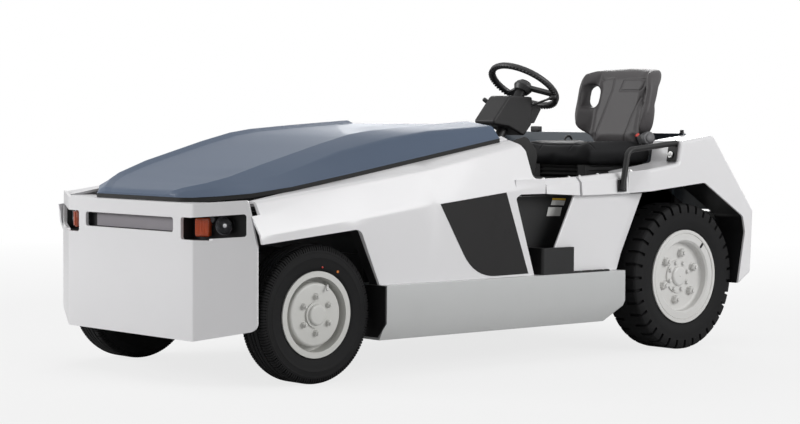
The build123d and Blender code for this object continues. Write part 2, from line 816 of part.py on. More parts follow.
# The backrest leans back, its wings reach forward, and each wing has a hand hole
with BuildPart() as seat_back:
    backrest_foot_z = cushion_top_z - cushion_dip + part_gap
    lean = Vector(0, backrest_lean, backrest_top_z - backrest_foot_z)
    with BuildSketch(Plane((seat_centre_x, backrest_foot_y, backrest_foot_z))):
        with BuildLine():
            FilletPolyline(
                (-120, 0),
                (120, 0),
                (seat_half_width - 34, -34),
                (seat_half_width, -backrest_wall - wing_depth + 24),
                (seat_half_width - 30, -backrest_wall - wing_depth),
                (seat_half_width - 84, -backrest_wall - 6),
                (110, -backrest_wall),
                (-110, -backrest_wall),
                (84 - seat_half_width, -backrest_wall - 6),
                (30 - seat_half_width, -backrest_wall - wing_depth),
                (-seat_half_width, -backrest_wall - wing_depth + 24),
                (34 - seat_half_width, -34),
                radius=[80, 80, 40, 14, 14, 30, 60, 60, 30, 14, 14, 40],
                close=True,
            )
        make_face()
    extrude(amount=lean.length, dir=lean)
    with BuildSketch(seat_section):
        with BuildLine():
            FilletPolyline(
                (-130, backrest_foot_z),
                (130, backrest_foot_z),
                (204, 1046),
                (seat_half_width, 1130),
                (seat_half_width, 1250),
                (204, backrest_top_z - 1),
                (-204, backrest_top_z - 1),
                (-seat_half_width, 1250),
                (-seat_half_width, 1130),
                (-204, 1046),
                radius=[20, 20, 60, 60, 50, 60, 60, 50, 60, 60],
                close=True,
            )
        make_face()
    extrude(amount=-2 * backrest_foot_y, mode=Mode.INTERSECT)
    with BuildSketch(seat_section):
        with Locations((-hand_hole_x, hand_hole_z), (hand_hole_x, hand_hole_z)):
            SlotCenterToCenter(hand_hole_height - hand_hole_width, hand_hole_width, rotation=90)
    extrude(amount=-2 * backrest_foot_y, mode=Mode.SUBTRACT)
save(seat_back.part, "seat_back")

# Hip rails: a bent tube beside the seat, on a lug at the rail and a plate at the fender
with BuildPart() as hip_rail:
    with BuildLine() as hip_line:
        FilletPolyline(
            (hip_rail_x, 972, 985),
            (hip_rail_x, hip_rail_corner_y, hip_rail_corner_z),
            (hip_rail_x, hip_rail_corner_y - 36, 772),
            radius=hip_rail_bend,
        )
    with BuildSketch(Plane(origin=hip_line.line @ 0, z_dir=hip_line.line % 0)):
        Circle(hip_rail_radius)
    sweep()
    block((rail_outer_x + part_gap, hip_rail_x - 6), (hip_rail_corner_y - 50, hip_rail_corner_y),
          (rail_bottom_z + 4, rail_top_z - 10))
    with BuildSketch(Plane.YZ.offset(hip_rail_x - 40)):
        with BuildLine():
            Polyline((960 - hip_plate, 897), (959.2, 897), (977.2, 993), (977.2 - hip_plate, 993), close=True)
        make_face()
    extrude(amount=54)
    mirror(about=Plane.YZ)
save(hip_rail.part, "hip_rails")

# Steering column and wheel, leaning back towards the driver
lean_plane = Plane.XY.rotated((-steering_lean, 0, 0))
column_axis = Plane(origin=(seat_centre_x, steering_wheel_y, steering_wheel_z), x_dir=(1, 0, 0), z_dir=lean_plane.z_dir)
with BuildPart() as steering_column:
    with BuildSketch(Plane.YZ.offset(seat_centre_x - column_half_width)):
        with BuildLine():
            FilletPolyline(
                (91, 1072),
                (204, 1058),
                (304, 1015),
                (353, 1069),
                (357, 1198),
                (205, 1203),
                radius=[16, 30, 20, 20, 10, 30],
                close=True,
            )
        make_face()
    extrude(amount=2 * column_half_width)
    side_faces = steering_column.faces().filter_by(Axis.X)
    fillet(side_faces.edges(), column_edge_radius - 4)
    with BuildSketch(Plane.YZ.offset(seat_centre_x - column_box_half_width)):
        with BuildLine():
            FilletPolyline((330, 1069), (399, 1076), (448, 1148), (357, 1179), (330, 1150), radius=[0, 10, 10, 6, 0],
                           close=True)
        make_face()
    extrude(amount=2 * column_box_half_width)
    with BuildSketch(column_axis.offset(-steering_hub_depth - part_gap)):
        Circle(column_tube_radius)
    extrude(amount=-760)
    block((seat_centre_x - 200, seat_centre_x + 200), (-200, bulkhead_rear_y), (500, bulkhead_top_z), Mode.SUBTRACT)
    block((seat_centre_x - 200, seat_centre_x + 200), (-200, cowl_rear_y), (bulkhead_top_z, 1200), Mode.SUBTRACT)
save(steering_column.part, "steering_column")

with BuildPart() as steering_wheel:
    with BuildSketch(Plane(origin=column_axis.origin, x_dir=column_axis.x_dir, z_dir=-column_axis.y_dir)):
        with Locations((steering_wheel_radius - steering_rim_radius, 0)):
            Circle(steering_rim_radius)
        with BuildLine():
            FilletPolyline(
                (0, -steering_hub_depth),
                (steering_hub_radius - 12, -steering_hub_depth),
                (steering_hub_radius, -12),
                (steering_hub_radius - 6, 6),
                (16, 14),
                (0, 14),
                radius=[0, 6, 8, 12, 10, 0],
                close=True,
            )
        make_face()
    revolve(axis=Axis(column_axis.origin, column_axis.z_dir))
    with BuildSketch(column_axis.offset(-14)):
        for angle in (24, 156):
            with Locations(Rotation(0, 0, angle)):
                with Locations((steering_wheel_radius / 2, 0)):
                    Rectangle(steering_wheel_radius - 2 * steering_rim_radius, steering_spoke_width)
    extrude(amount=14)
save(steering_wheel.part, "steering_wheel")

# Axles
with BuildPart() as front_axle:
    block((-kingpin_x, kingpin_x), (front_axle_y - axle_depth / 2, front_axle_y + axle_depth / 2),
          (front_wheel_z - axle_height / 2, front_wheel_z + axle_height / 2))
    block((-axle_saddle_half, axle_saddle_half), (front_axle_y - axle_depth / 2, front_axle_y + axle_depth / 2),
          (front_wheel_z, front_frame_bottom_z))
    with Locations((-kingpin_x, front_axle_y, front_wheel_z), (kingpin_x, front_axle_y, front_wheel_z)):
        Cylinder(axle_depth / 2, axle_height)
        Cylinder(kingpin_radius + pin_clearance, axle_height, mode=Mode.SUBTRACT)
save(front_axle.part, "front_axle")

front_flange_x = front_tyre_width / 2 - bead_inset + rim_wall
front_disc_x = front_flange_x - front_disc_recess
knuckle_low = front_wheel_z - axle_height / 2 - part_gap - knuckle_arm
knuckle_high = front_wheel_z + axle_height / 2 + part_gap + knuckle_arm
with BuildPart() as knuckle:
    for z in (knuckle_low, knuckle_high - knuckle_arm):
        with BuildSketch(Plane.XY.offset(z)):
            with Locations((kingpin_x, front_axle_y)):
                Circle(knuckle_half)
            with Locations((kingpin_x + knuckle_reach / 2, front_axle_y)):
                Rectangle(knuckle_reach, 2 * knuckle_half)
        extrude(amount=knuckle_arm)
    with Locations((kingpin_x, front_axle_y, front_wheel_z)):
        Cylinder(kingpin_radius, knuckle_high - knuckle_low)
    block((kingpin_x + knuckle_reach - 18, kingpin_x + knuckle_reach),
          (front_axle_y - knuckle_half, front_axle_y + knuckle_half), (knuckle_low, knuckle_high))
    with BuildSketch(Plane.YZ.offset(kingpin_x + knuckle_reach)):
        with Locations((front_axle_y, front_wheel_z)):
            Circle(spindle_radius)
    extrude(amount=front_wheel_x + front_disc_x + hub_cap_rise - rim_wall - kingpin_x - knuckle_reach - part_gap)
save_pair(knuckle.part, "knuckle")

rear_flange_x = rear_tyre_width / 2 - bead_inset + rim_wall
rear_disc_x = rear_flange_x - rear_disc_recess
with BuildPart() as rear_axle:
    with BuildSketch(Plane.YZ.offset(-rear_tube_end_x)):
        with Locations((rear_axle_y, rear_wheel_z)):
            Circle(rear_tube_radius)
    extrude(amount=2 * rear_tube_end_x)
    with BuildSketch(Plane.YZ.offset(-diff_half_width)):
        with Locations((rear_axle_y, rear_wheel_z)):
            Circle(diff_radius)
    extrude(amount=2 * diff_half_width)
    hub_face_x = rear_wheel_x + rear_disc_x - rim_wall - part_gap
    spigot_end_x = rear_wheel_x + rear_disc_x + hub_cap_rise - rim_wall - part_gap
    for low, high, radius in ((rear_tube_end_x, hub_face_x, rear_hub_flange_radius), (hub_face_x, spigot_end_x, rear_spigot_radius)):
        for side in (-1, 1):
            with BuildSketch(Plane.YZ.offset(side * low)):
                with Locations((rear_axle_y, rear_wheel_z)):
                    Circle(radius)
            extrude(amount=side * (high - low))
    for x in (-170, 170):
        block((x - 30, x + 30), (rear_axle_y - 50, rear_axle_y + 50), (rear_wheel_z, rear_frame_bottom_z))
save(rear_axle.part, "rear_axle")

with BuildPart() as drive_motor:
    with BuildSketch(Plane.XZ.offset(-(rear_axle_y - diff_radius))):
        with Locations((0, rear_wheel_z)):
            Circle(motor_radius)
    extrude(amount=motor_length)
save(drive_motor.part, "drive_motor")


# Bonnet: a hollow shell lofted over stations, its middle panel sunk between two rounded crests
def bonnet_section(y, half, shoulder_at, shoulder_up, crest_at, crest_up, inset):
    """Closed section of the bonnet at one station, as a line in x and z."""
    low = seal_z(y) + seal_height + part_gap
    build_up = min(1, shoulder_up / bonnet_shoulder_radius)
    right = [
        (half - inset, low - (1 if inset else 0)),
        (half - 6 - inset, low + 4),
        (shoulder_at - inset, low + shoulder_up + 2 - inset),
        (crest_at - inset / 2, low + crest_up + 2 - inset),
        (crest_at - bonnet_recess_run - inset / 2, low + crest_up + 2 - bonnet_recess * build_up - inset),
    ]
    left = [(-x, z) for x, z in reversed(right)]
    rounds = [0, 3, bonnet_shoulder_radius * build_up, bonnet_crest_radius * build_up, 20 * build_up]
    return FilletPolyline(*right, *left, radius=rounds + rounds[::-1], close=True)


rear_half = bonnet_line[-1][1]
bonnet_stations = [(bonnet_front_y + back, *rest) for back, *rest in bonnet_line]
bonnet_stations.append((bonnet_rear_y, rear_half, *bonnet_rear_shoulder, *bonnet_rear_crest))
with BuildPart() as bonnet_core:
    for y, *rest in bonnet_stations[2:-1]:
        with BuildSketch(Plane.XZ.offset(-y)):
            with BuildLine():
                bonnet_section(y, *rest, bonnet_wall)
            make_face()
    with BuildSketch(Plane.XZ.offset(-bonnet_rear_y + bonnet_wall)):
        with BuildLine():
            bonnet_section(bonnet_rear_y, rear_half, *bonnet_rear_shoulder, *bonnet_rear_crest, bonnet_wall)
        make_face()
    loft(ruled=True)

with BuildPart() as bonnet:
    for y, *rest in bonnet_stations:
        with BuildSketch(Plane.XZ.offset(-y)):
            with BuildLine():
                bonnet_section(y, *rest, 0)
            make_face()
    loft(ruled=True)
    add(bonnet_core.part, mode=Mode.SUBTRACT)
save(bonnet.part, "bonnet")

with BuildPart() as bonnet_seal:
    add(seal_ring)
    with BuildSketch(Plane.YZ.offset(-seal_line_x - 60)):
        with BuildLine():
            Polyline(
                (bonnet_front_y - 1, nose_top_z + part_gap),
                (seal_kink_y, nose_top_z + part_gap),
                (bonnet_rear_y, seal_z(bonnet_rear_y) + part_gap),
                (bonnet_rear_y, seal_z(bonnet_rear_y) + seal_height),
                (seal_kink_y, nose_top_z + seal_height),
                (bonnet_front_y - 1, nose_top_z + seal_height),
                close=True,
            )
        make_face()
    extrude(amount=2 * seal_line_x + 120, mode=Mode.INTERSECT)
save(bonnet_seal.part, "bonnet_seal")


# Wheels: each profile is turned about the wheel's axle
def turned(axle_y, axle_z, wheel_x, profile, rounds):
    """A solid turned about an axle along X, from points (distance along X, radius)."""
    with BuildPart() as turned_part:
        with BuildSketch(Plane(origin=(wheel_x, axle_y, axle_z), x_dir=(1, 0, 0), z_dir=(0, -1, 0))):
            with BuildLine():
                FilletPolyline(*profile, radius=rounds, close=True)
            make_face()
        revolve(axis=Axis((wheel_x, axle_y, axle_z), (1, 0, 0)))
    return turned_part.part


def tyre(axle_y, radius, width, wheel_x, seat_radius, flange_radius):
    """A tyre without its tread, seated in its rim."""
    half = width / 2
    bead = half - bead_inset
    profile = [
        (-bead, seat_radius + part_gap),
        (bead, seat_radius + part_gap),
        (bead, flange_radius + 2),
        (half, (radius + flange_radius) / 2),
        (half - 4, radius - tread_shoulder),
        (half - tread_shoulder, radius),
        (tread_shoulder - half, radius),
        (4 - half, radius - tread_shoulder),
        (-half, (radius + flange_radius) / 2),
        (-bead, flange_radius + 2),
    ]
    return turned(axle_y, radius, wheel_x, profile, [0] * len(profile))


def rim_barrel(flange_x, flange_radius, seat_radius, inner_radius):
    """Outer contour of a rim from its outer lip to its inner lip."""
    seat_x = flange_x - rim_wall + part_gap
    return [
        (flange_x, flange_radius),
        (seat_x, flange_radius),
        (seat_x, seat_radius),
        (-seat_x, seat_radius),
        (-seat_x, flange_radius),
        (-flange_x, flange_radius),
        (-flange_x, inner_radius),
    ]


front_rim_profile = [
    *rim_barrel(front_flange_x, front_flange_radius, front_seat_radius, front_seat_radius - rim_wall),
    (0, front_seat_radius - rim_wall),
    (0, front_disc_radius - rim_wall),
    (front_disc_x - rim_wall, front_disc_radius - 2 * rim_wall),
    (front_disc_x - rim_wall, spindle_radius + part_gap),
    (front_disc_x + hub_cap_rise - rim_wall, spindle_radius + part_gap),
    (front_disc_x + hub_cap_rise - rim_wall, 0),
    (front_disc_x + hub_cap_rise, 0),
    (front_disc_x + hub_cap_rise, hub_cap_radius),
    (front_disc_x + rim_wall, hub_cap_radius),
    (front_disc_x + rim_wall, hub_ring_radius),
    (front_disc_x, hub_ring_radius),
    (front_disc_x, front_disc_radius),
    (rim_wall, front_disc_radius),
    (rim_wall, front_seat_radius - rim_wall),
    (front_flange_x, front_seat_radius - rim_wall),
]
front_rim_rounds = [0] * 14 + [10, 0, 0, 0, 12, 0, 0, 0]
rear_rim_profile = [
    *rim_barrel(rear_flange_x, rear_flange_radius, rear_seat_radius, rear_seat_radius - rim_wall),
    (rear_disc_x - rim_wall, rear_seat_radius - rim_wall),
    (rear_disc_x - rim_wall, rear_spigot_radius + part_gap),
    (rear_disc_x + hub_cap_rise - rim_wall, rear_spigot_radius + part_gap),
    (rear_disc_x + hub_cap_rise - rim_wall, 0),
    (rear_disc_x + hub_cap_rise, 0),
    (rear_disc_x + hub_cap_rise, rear_spigot_radius + rim_wall),
    (rear_disc_x + rim_wall, rear_spigot_radius + rim_wall),
    (rear_disc_x + rim_wall, rear_hub_flange_radius),
    (rear_disc_x, rear_hub_flange_radius),
    (rear_disc_x, rear_opening_radius),
    (rear_flange_x - 10, rear_opening_radius),
    (rear_flange_x - 2, rear_opening_radius + 8),
    (rear_flange_x - 2, rear_flange_radius - 20),
    (rear_flange_x - 5, rear_flange_radius - 17),
    (rear_flange_x, rear_flange_radius - 14),
]
rear_rim_rounds = [0] * 12 + [12, 0, 0, 0, 12, 0, 0, 0, 0, 0]

save_pair(tyre(front_axle_y, front_tyre_radius, front_tyre_width, front_wheel_x, front_seat_radius, front_flange_radius),
          "front_tyre")
save_pair(tyre(rear_axle_y, rear_tyre_radius, rear_tyre_width, rear_wheel_x, rear_seat_radius, rear_flange_radius),
          "rear_tyre")
save_pair(turned(front_axle_y, front_wheel_z, front_wheel_x, front_rim_profile, front_rim_rounds), "front_rim")
save_pair(turned(rear_axle_y, rear_wheel_z, rear_wheel_x, rear_rim_profile, rear_rim_rounds), "rear_rim")
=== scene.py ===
import math

import bmesh
import bpy
from mathutils import Matrix, Vector
from mathutils.bvhtree import BVHTree


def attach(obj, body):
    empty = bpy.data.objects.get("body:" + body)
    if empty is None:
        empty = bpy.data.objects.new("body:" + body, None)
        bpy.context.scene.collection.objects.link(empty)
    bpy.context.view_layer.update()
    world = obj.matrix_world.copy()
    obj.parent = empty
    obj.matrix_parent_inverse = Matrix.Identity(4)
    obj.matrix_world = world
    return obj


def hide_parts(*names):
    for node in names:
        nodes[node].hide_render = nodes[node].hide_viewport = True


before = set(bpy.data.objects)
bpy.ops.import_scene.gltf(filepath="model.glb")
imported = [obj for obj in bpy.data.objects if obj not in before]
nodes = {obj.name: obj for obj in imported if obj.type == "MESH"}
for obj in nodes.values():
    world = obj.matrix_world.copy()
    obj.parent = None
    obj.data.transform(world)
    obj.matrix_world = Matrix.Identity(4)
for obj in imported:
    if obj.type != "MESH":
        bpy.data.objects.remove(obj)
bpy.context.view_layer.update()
sides = {"left": 1, "right": -1}
print("frame loaded:", len(nodes), "nodes")


class Val:  # a shader socket that counts like a number
    def __init__(self, finish, socket):
        self.finish = finish
        self.socket = socket

    def calc(self, operation, *values):
        return self.finish.node("ShaderNodeMath", {"operation": operation}, dict(enumerate(values)))

    def __add__(self, other):
        return self.calc("ADD", self, other)

    def __sub__(self, other):
        return self.calc("SUBTRACT", self, other)

    def __rsub__(self, other):
        return self.calc("SUBTRACT", other, self)

    def __mul__(self, other):
        return self.calc("MULTIPLY", self, other)

    def __gt__(self, other):
        return self.calc("GREATER_THAN", self, other)

    def __lt__(self, other):
        return self.calc("LESS_THAN", self, other)

    def __abs__(self):
        return self.calc("ABSOLUTE", self)

    __radd__ = __add__
    __rmul__ = __mul__


class Finish:  # one procedural material
    def __init__(self, name, **fixed):
        self.material = bpy.data.materials.new(name)
        self.material.use_nodes = True
        self.tree = self.material.node_tree
        self.shader = self.tree.nodes["Principled BSDF"]
        self.place = self.node("ShaderNodeTexCoord", out="Object")
        self.give(fixed)

    def node(self, kind, settings=None, sockets=None, out=0):
        made = self.tree.nodes.new(kind)
        for key, value in (settings or {}).items():
            setattr(made, key, value)
        self.plug(made, sockets or {})
        return Val(self, made.outputs[out])

    def plug(self, target, sockets):
        for key, value in sockets.items():
            if isinstance(value, Val):
                self.tree.links.new(value.socket, target.inputs[key])
            else:
                target.inputs[key].default_value = value

    def give(self, sockets):
        self.plug(self.shader, sockets)

    def noise(self, scale, detail=3, at=None):
        return self.node("ShaderNodeTexNoise", {},
                         {"Vector": at or self.place, "Scale": scale, "Detail": detail})

    def axes(self):
        split = self.node("ShaderNodeSeparateXYZ", {}, {"Vector": self.place})
        outputs = split.socket.node.outputs
        return [Val(self, outputs[axis]) for axis in range(3)]

    def ramp(self, value, start, end):  # 0 at start, 1 at end
        return self.node("ShaderNodeMapRange", {}, {0: value, 1: start, 2: end, 3: 0.0, 4: 1.0})

    def tint(self, share, low, high):  # a mix of two colours, each a tuple or a socket
        low, high = ((*part, 1) if isinstance(part, tuple) else part for part in (low, high))
        return self.node("ShaderNodeMix", {"data_type": "RGBA"}, {0: share, 6: low, 7: high}, out=2)

    def relief(self, height, strength, distance=0.001):
        return self.node("ShaderNodeBump", {},
                         {"Height": height, "Strength": strength, "Distance": distance})


roadDust = {"colour": (0.34, 0.31, 0.27), "full": 0.12, "cloudScale": 9.0, "rough": 0.4}


def archMask(finish, look):  # 1 on the inner faces of a wheel arch, where the paint is darkened as painted shade
    across, along, up = finish.axes()
    mask = (abs(across) < look["inside"]) * (along > look["front"]) * (along < look["back"])
    for height, slope, start in look["under"]:
        mask = mask * (up < height + (along - start) * slope)
    return mask


def paint(name, look):  # clear-coated paint with road dust low down, and painted shade inside the wheel arches where the look has one
    finish = Finish(name, **{"Coat Roughness": look["coatRough"], "IOR": 1.5,
                             "Specular IOR Level": look.get("shine", 0.5)})
    cloud = finish.noise(look["cloudScale"], 4)
    height = finish.axes()[2]
    dust = finish.ramp(height, look["dustTop"], roadDust["full"]) \
        * finish.noise(roadDust["cloudScale"], 4) * look["dust"]
    body = finish.tint(cloud, look["dark"], look["light"])
    colour = finish.tint(dust, body, roadDust["colour"])
    coat = look["coat"] - dust * look["coat"]
    # painted shade: the inner faces of the wheel arches are painted near black, with less coat, where the
    # light doesn't reach
    if "arch" in look:
        inside = archMask(finish, look["arch"])
        colour = finish.tint(inside, colour, look["arch"]["colour"])
        coat = coat * (1 - inside * 0.8)
    finish.give({
        "Base Color": colour,
        "Roughness": look["rough"] + cloud * 0.06 + dust * roadDust["rough"],
        "Coat Weight": coat,
        "Normal": finish.relief(finish.noise(look["peelScale"], 2), look["peel"]),
    })
    return finish.material


whiteLook = {"dark": (0.785, 0.78, 0.79), "light": (0.825, 0.82, 0.835), "cloudScale": 1.6, "rough": 0.3,
             "coat": 0.25, "coatRough": 0.07, "peelScale": 420, "peel": 0.03,
             "dustTop": 0.35, "dust": 0.05}
rimLook = {"dark": (0.60, 0.60, 0.575), "light": (0.66, 0.66, 0.635), "cloudScale": 9.0, "rough": 0.38,
           "coat": 0.2, "coatRough": 0.2, "peelScale": 300, "peel": 0.07,
           "dustTop": 0.40, "dust": 0.14}
# Painted shade, near black, on the inner side of each arch, where under gives (height, slope, start)
# along the vehicle
frontArchShade = {"inside": 0.703, "front": -1.02, "back": -0.36, "under": [(0.70, 0.0, 0.0)],
             "colour": (0.012, 0.012, 0.013)}
rearArchShade = {"inside": 0.790, "front": 0.80, "back": 1.462,
            "under": [(0.778, 0.0885, 0.662), (0.83, -0.62, 1.148)], "colour": (0.014, 0.014, 0.015)}
paintLooks = {
    "whitePaint": whiteLook,
    "sidePaintWithArchShade": {**whiteLook, "arch": frontArchShade},
    "fenderPaintWithArchShade": {**whiteLook, "arch": rearArchShade},
    "silverPaint": {"dark": (0.55, 0.56, 0.56), "light": (0.60, 0.61, 0.61), "cloudScale": 2.0,
                    "rough": 0.34, "coat": 0.3, "coatRough": 0.16, "peelScale": 520, "peel": 0.04,
                    "dustTop": 0.40, "dust": 0.12},
    "navyPaint": {"dark": (0.094, 0.124, 0.180), "light": (0.114, 0.150, 0.214), "cloudScale": 2.0,
                  "rough": 0.46, "shine": 0.12, "coat": 0.05, "coatRough": 0.04, "peelScale": 360,
                  "peel": 0.02, "dustTop": 0.5, "dust": 0.05},
    "navyPanel": {"dark": (0.034, 0.047, 0.062), "light": (0.044, 0.060, 0.078), "cloudScale": 3.0,
                  "rough": 0.36, "coat": 0.5, "coatRough": 0.1, "peelScale": 360, "peel": 0.03,
                  "dustTop": 0.5, "dust": 0.1},
    "framePaint": {"dark": (0.010, 0.010, 0.011), "light": (0.020, 0.020, 0.021), "cloudScale": 6.0,
                   "rough": 0.5, "coat": 0.05, "coatRough": 0.3, "peelScale": 260, "peel": 0.10,
                   "dustTop": 0.5, "dust": 0.12},
    "rimPaint": rimLook,
    "rearRimPaint": {**rimLook, "dark": (0.66, 0.655, 0.64), "light": (0.72, 0.715, 0.70)},
}
finishes = {name: paint(name, look) for name, look in paintLooks.items()}


def grained(name, look):  # moulded plastic, rubber and other grained skins
    finish = Finish(name, **{"IOR": 1.48, "Specular IOR Level": look.get("shine", 0.5)})
    cloud = finish.noise(look["cloudScale"], 4)
    grain = finish.noise(look["grainScale"], 2)
    finish.give({
        "Base Color": finish.tint(cloud, look["dark"], look["light"]),
        "Roughness": look["rough"] + cloud * 0.12 - grain * 0.05,
        "Normal": finish.relief(grain, look["grain"]),
    })
    return finish.material


grainLooks = {
    "blackPlastic": {"dark": (0.010, 0.010, 0.011), "light": (0.018, 0.018, 0.019), "cloudScale": 7,
                     "grainScale": 700, "rough": 0.45, "grain": 0.25, "shine": 0.35},
    "columnPlastic": {"dark": (0.006, 0.0055, 0.006), "light": (0.010, 0.0095, 0.010), "cloudScale": 5,
                      "grainScale": 700, "rough": 0.42, "grain": 0.3, "shine": 0.35},
    "blackRubber": {"dark": (0.008, 0.008, 0.008), "light": (0.015, 0.015, 0.015), "cloudScale": 9,
                    "grainScale": 400, "rough": 0.6, "grain": 0.2, "shine": 0.3},
    "tyreRubber": {"dark": (0.010, 0.010, 0.0105), "light": (0.016, 0.016, 0.0165), "cloudScale": 8,
                   "grainScale": 300, "rough": 0.60, "grain": 0.25, "shine": 0.12},
    "floorMat": {"dark": (0.008, 0.008, 0.008), "light": (0.016, 0.016, 0.016), "cloudScale": 9,
                 "grainScale": 160, "rough": 0.65, "grain": 0.5, "shine": 0.3},
    # painted light: the backrest is the cushion's black vinyl painted lighter, for the light that falls
    # on the back
    "backVinylPaintedLight": {"dark": (0.056, 0.052, 0.054), "light": (0.076, 0.071, 0.073), "cloudScale": 3,
                  "grainScale": 420, "rough": 0.44, "grain": 0.35, "shine": 0.4},
    "seatVinyl": {"dark": (0.010, 0.010, 0.011), "light": (0.017, 0.017, 0.018), "cloudScale": 3,
                  "grainScale": 420, "rough": 0.58, "grain": 0.3, "shine": 0.12},
    "wheelGrip": {"dark": (0.012, 0.012, 0.0125), "light": (0.020, 0.020, 0.021), "cloudScale": 14,
                  "grainScale": 800, "rough": 0.36, "grain": 0.2},
    "blackSteel": {"dark": (0.006, 0.006, 0.0065), "light": (0.013, 0.013, 0.0135), "cloudScale": 6,
                   "grainScale": 300, "rough": 0.4, "grain": 0.12, "shine": 0.35},
    "castIron": {"dark": (0.03, 0.03, 0.032), "light": (0.06, 0.06, 0.062), "cloudScale": 10,
                 "grainScale": 180, "rough": 0.5, "grain": 0.5},
    "decalFilm": {"dark": (0.0085, 0.008, 0.0085), "light": (0.013, 0.012, 0.0125), "cloudScale": 2,
                  "grainScale": 900, "rough": 0.26, "grain": 0.03, "shine": 0.4},
    "labelWhite": {"dark": (0.66, 0.66, 0.64), "light": (0.74, 0.74, 0.72), "cloudScale": 30,
                   "grainScale": 900, "rough": 0.4, "grain": 0.03},
    "labelYellow": {"dark": (0.68, 0.42, 0.03), "light": (0.76, 0.48, 0.05), "cloudScale": 30,
                    "grainScale": 900, "rough": 0.4, "grain": 0.03},
    "slotPlate": {"dark": (0.20, 0.185, 0.205), "light": (0.25, 0.235, 0.255), "cloudScale": 6,
                  "grainScale": 500, "rough": 0.4, "grain": 0.15},
    "greyPlastic": {"dark": (0.10, 0.10, 0.105), "light": (0.14, 0.14, 0.145), "cloudScale": 12,
                    "grainScale": 500, "rough": 0.45, "grain": 0.2},
    "redPlastic": {"dark": (0.55, 0.03, 0.02), "light": (0.66, 0.05, 0.03), "cloudScale": 30,
                   "grainScale": 600, "rough": 0.35, "grain": 0.1},
    "orangeMark": {"dark": (0.60, 0.17, 0.02), "light": (0.70, 0.22, 0.03), "cloudScale": 30,
                   "grainScale": 600, "rough": 0.5, "grain": 0.05},
}
finishes.update({name: grained(name, look) for name, look in grainLooks.items()})


def lens(name, look):  # coloured lamp plastic, or thin clear glass
    finish = Finish(name, **{"IOR": 1.49, "Alpha": look["alpha"], "Coat Weight": 1.0})
    cloud = finish.noise(30, 2)
    dark = tuple(part * 0.8 for part in look["colour"])
    finish.give({
        "Base Color": finish.tint(cloud, dark, look["colour"]),
        "Roughness": look["rough"] + cloud * 0.05,
        "Normal": finish.relief(finish.noise(160, 1), 0.08),
    })
    return finish.material


lensLooks = {
    "amberLens": {"colour": (0.62, 0.085, 0.016), "rough": 0.14, "alpha": 1.0},
    "redLens": {"colour": (0.45, 0.012, 0.010), "rough": 0.12, "alpha": 1.0},
    "clearLens": {"colour": (0.30, 0.31, 0.33), "rough": 0.05, "alpha": 0.10},
}
finishes.update({name: lens(name, look) for name, look in lensLooks.items()})


def brushed(name, look):  # bare or plated metal with fine streaks
    finish = Finish(name)
    streaks = finish.node("ShaderNodeMapping", {}, {"Vector": finish.place, "Scale": (1, 18, 18)})
    grain = finish.noise(60, 4, streaks)
    finish.give({
        "Base Color": finish.tint(grain, look["dark"], look["light"]),
        "Metallic": 1.0,
        "Roughness": look["rough"] + grain * 0.2,
        "Normal": finish.relief(grain, 0.06),
    })
    return finish.material


metalLooks = {
    "chrome": {"dark": (0.62, 0.62, 0.64), "light": (0.86, 0.86, 0.88), "rough": 0.08},
    "darkChrome": {"dark": (0.045, 0.045, 0.05), "light": (0.09, 0.09, 0.10), "rough": 0.10},
    "zincSteel": {"dark": (0.50, 0.50, 0.50), "light": (0.72, 0.72, 0.71), "rough": 0.25},
}
finishes.update({name: brushed(name, look) for name, look in metalLooks.items()})
print("finishes made:", len(finishes))

nodeFinish = {
    "whitePaint": ["nose_plate", "nose_top", "rear_panels", "rail_covers", "cowl"],
    "sidePaintWithArchShade": ["front_sides"],
    "fenderPaintWithArchShade": ["rear_fenders"],
    "silverPaint": ["side_beams", "tail_plate"],
    "navyPaint": ["bonnet"],
    "navyPanel": ["rear_wall", "rear_deck"],
    "framePaint": ["front_frame", "battery_tray", "rear_frame", "front_axle", "knuckle_left",
                   "knuckle_right", "rear_axle", "tow_coupler"],
    "blackPlastic": ["nose_liner", "lamp_housings"],
    "columnPlastic": ["steering_column"],
    "blackRubber": ["bonnet_seal", "pedals"],
    "blackSteel": ["dash_bulkhead", "step_wells", "side_steps", "seat_base", "hip_rails", "seat_rails"],
    "castIron": ["battery", "drive_motor"],
    "floorMat": ["floor_plate"],
    "wheelGrip": ["steering_wheel"],
    "slotPlate": ["grille_panel"],
    "redLens": ["tail_lamps"],
    "rimPaint": ["front_rim_left", "front_rim_right"],
    "rearRimPaint": ["rear_rim_left", "rear_rim_right"],
}
for finishName, names in nodeFinish.items():
    for name in names:
        nodes[name].data.materials.clear()
        nodes[name].data.materials.append(finishes[finishName])

# Soft edges on the CAD nodes, as modifiers: weld, bevel, smooth shading by angle, weighted normals
softEdges = {"weld": 0.00002, "width": 0.0022, "sharp": 32}
bevelled = ["nose_plate", "nose_top", "front_sides", "rear_panels", "rear_fenders", "rail_covers", "cowl",
            "side_beams", "tail_plate", "rear_wall", "rear_deck", "side_steps", "seat_base",
            "steering_column"]


def smoothGroup(name, sharp):  # geometry nodes that shade smooth up to an angle
    group = bpy.data.node_groups.new(name, "GeometryNodeTree")
    group.interface.new_socket("Geometry", in_out="INPUT", socket_type="NodeSocketGeometry")
    group.interface.new_socket("Geometry", in_out="OUTPUT", socket_type="NodeSocketGeometry")
    entry, ending = group.nodes.new("NodeGroupInput"), group.nodes.new("NodeGroupOutput")
    faces, edges = (group.nodes.new("GeometryNodeSetShadeSmooth") for _ in range(2))
    faces.domain, edges.domain = "FACE", "EDGE"
    edges.inputs["Shade Smooth"].default_value = False
    angle = group.nodes.new("GeometryNodeInputMeshEdgeAngle")
    over = group.nodes.new("FunctionNodeCompare")
    over.operation = "GREATER_THAN"
    over.inputs[1].default_value = math.radians(sharp)
    for start, end in ((entry.outputs[0], faces.inputs[0]), (faces.outputs[0], edges.inputs[0]),
                       (angle.outputs[0], over.inputs[0]), (over.outputs[0], edges.inputs["Selection"]),
                       (edges.outputs[0], ending.inputs[0])):
        group.links.new(start, end)
    return group


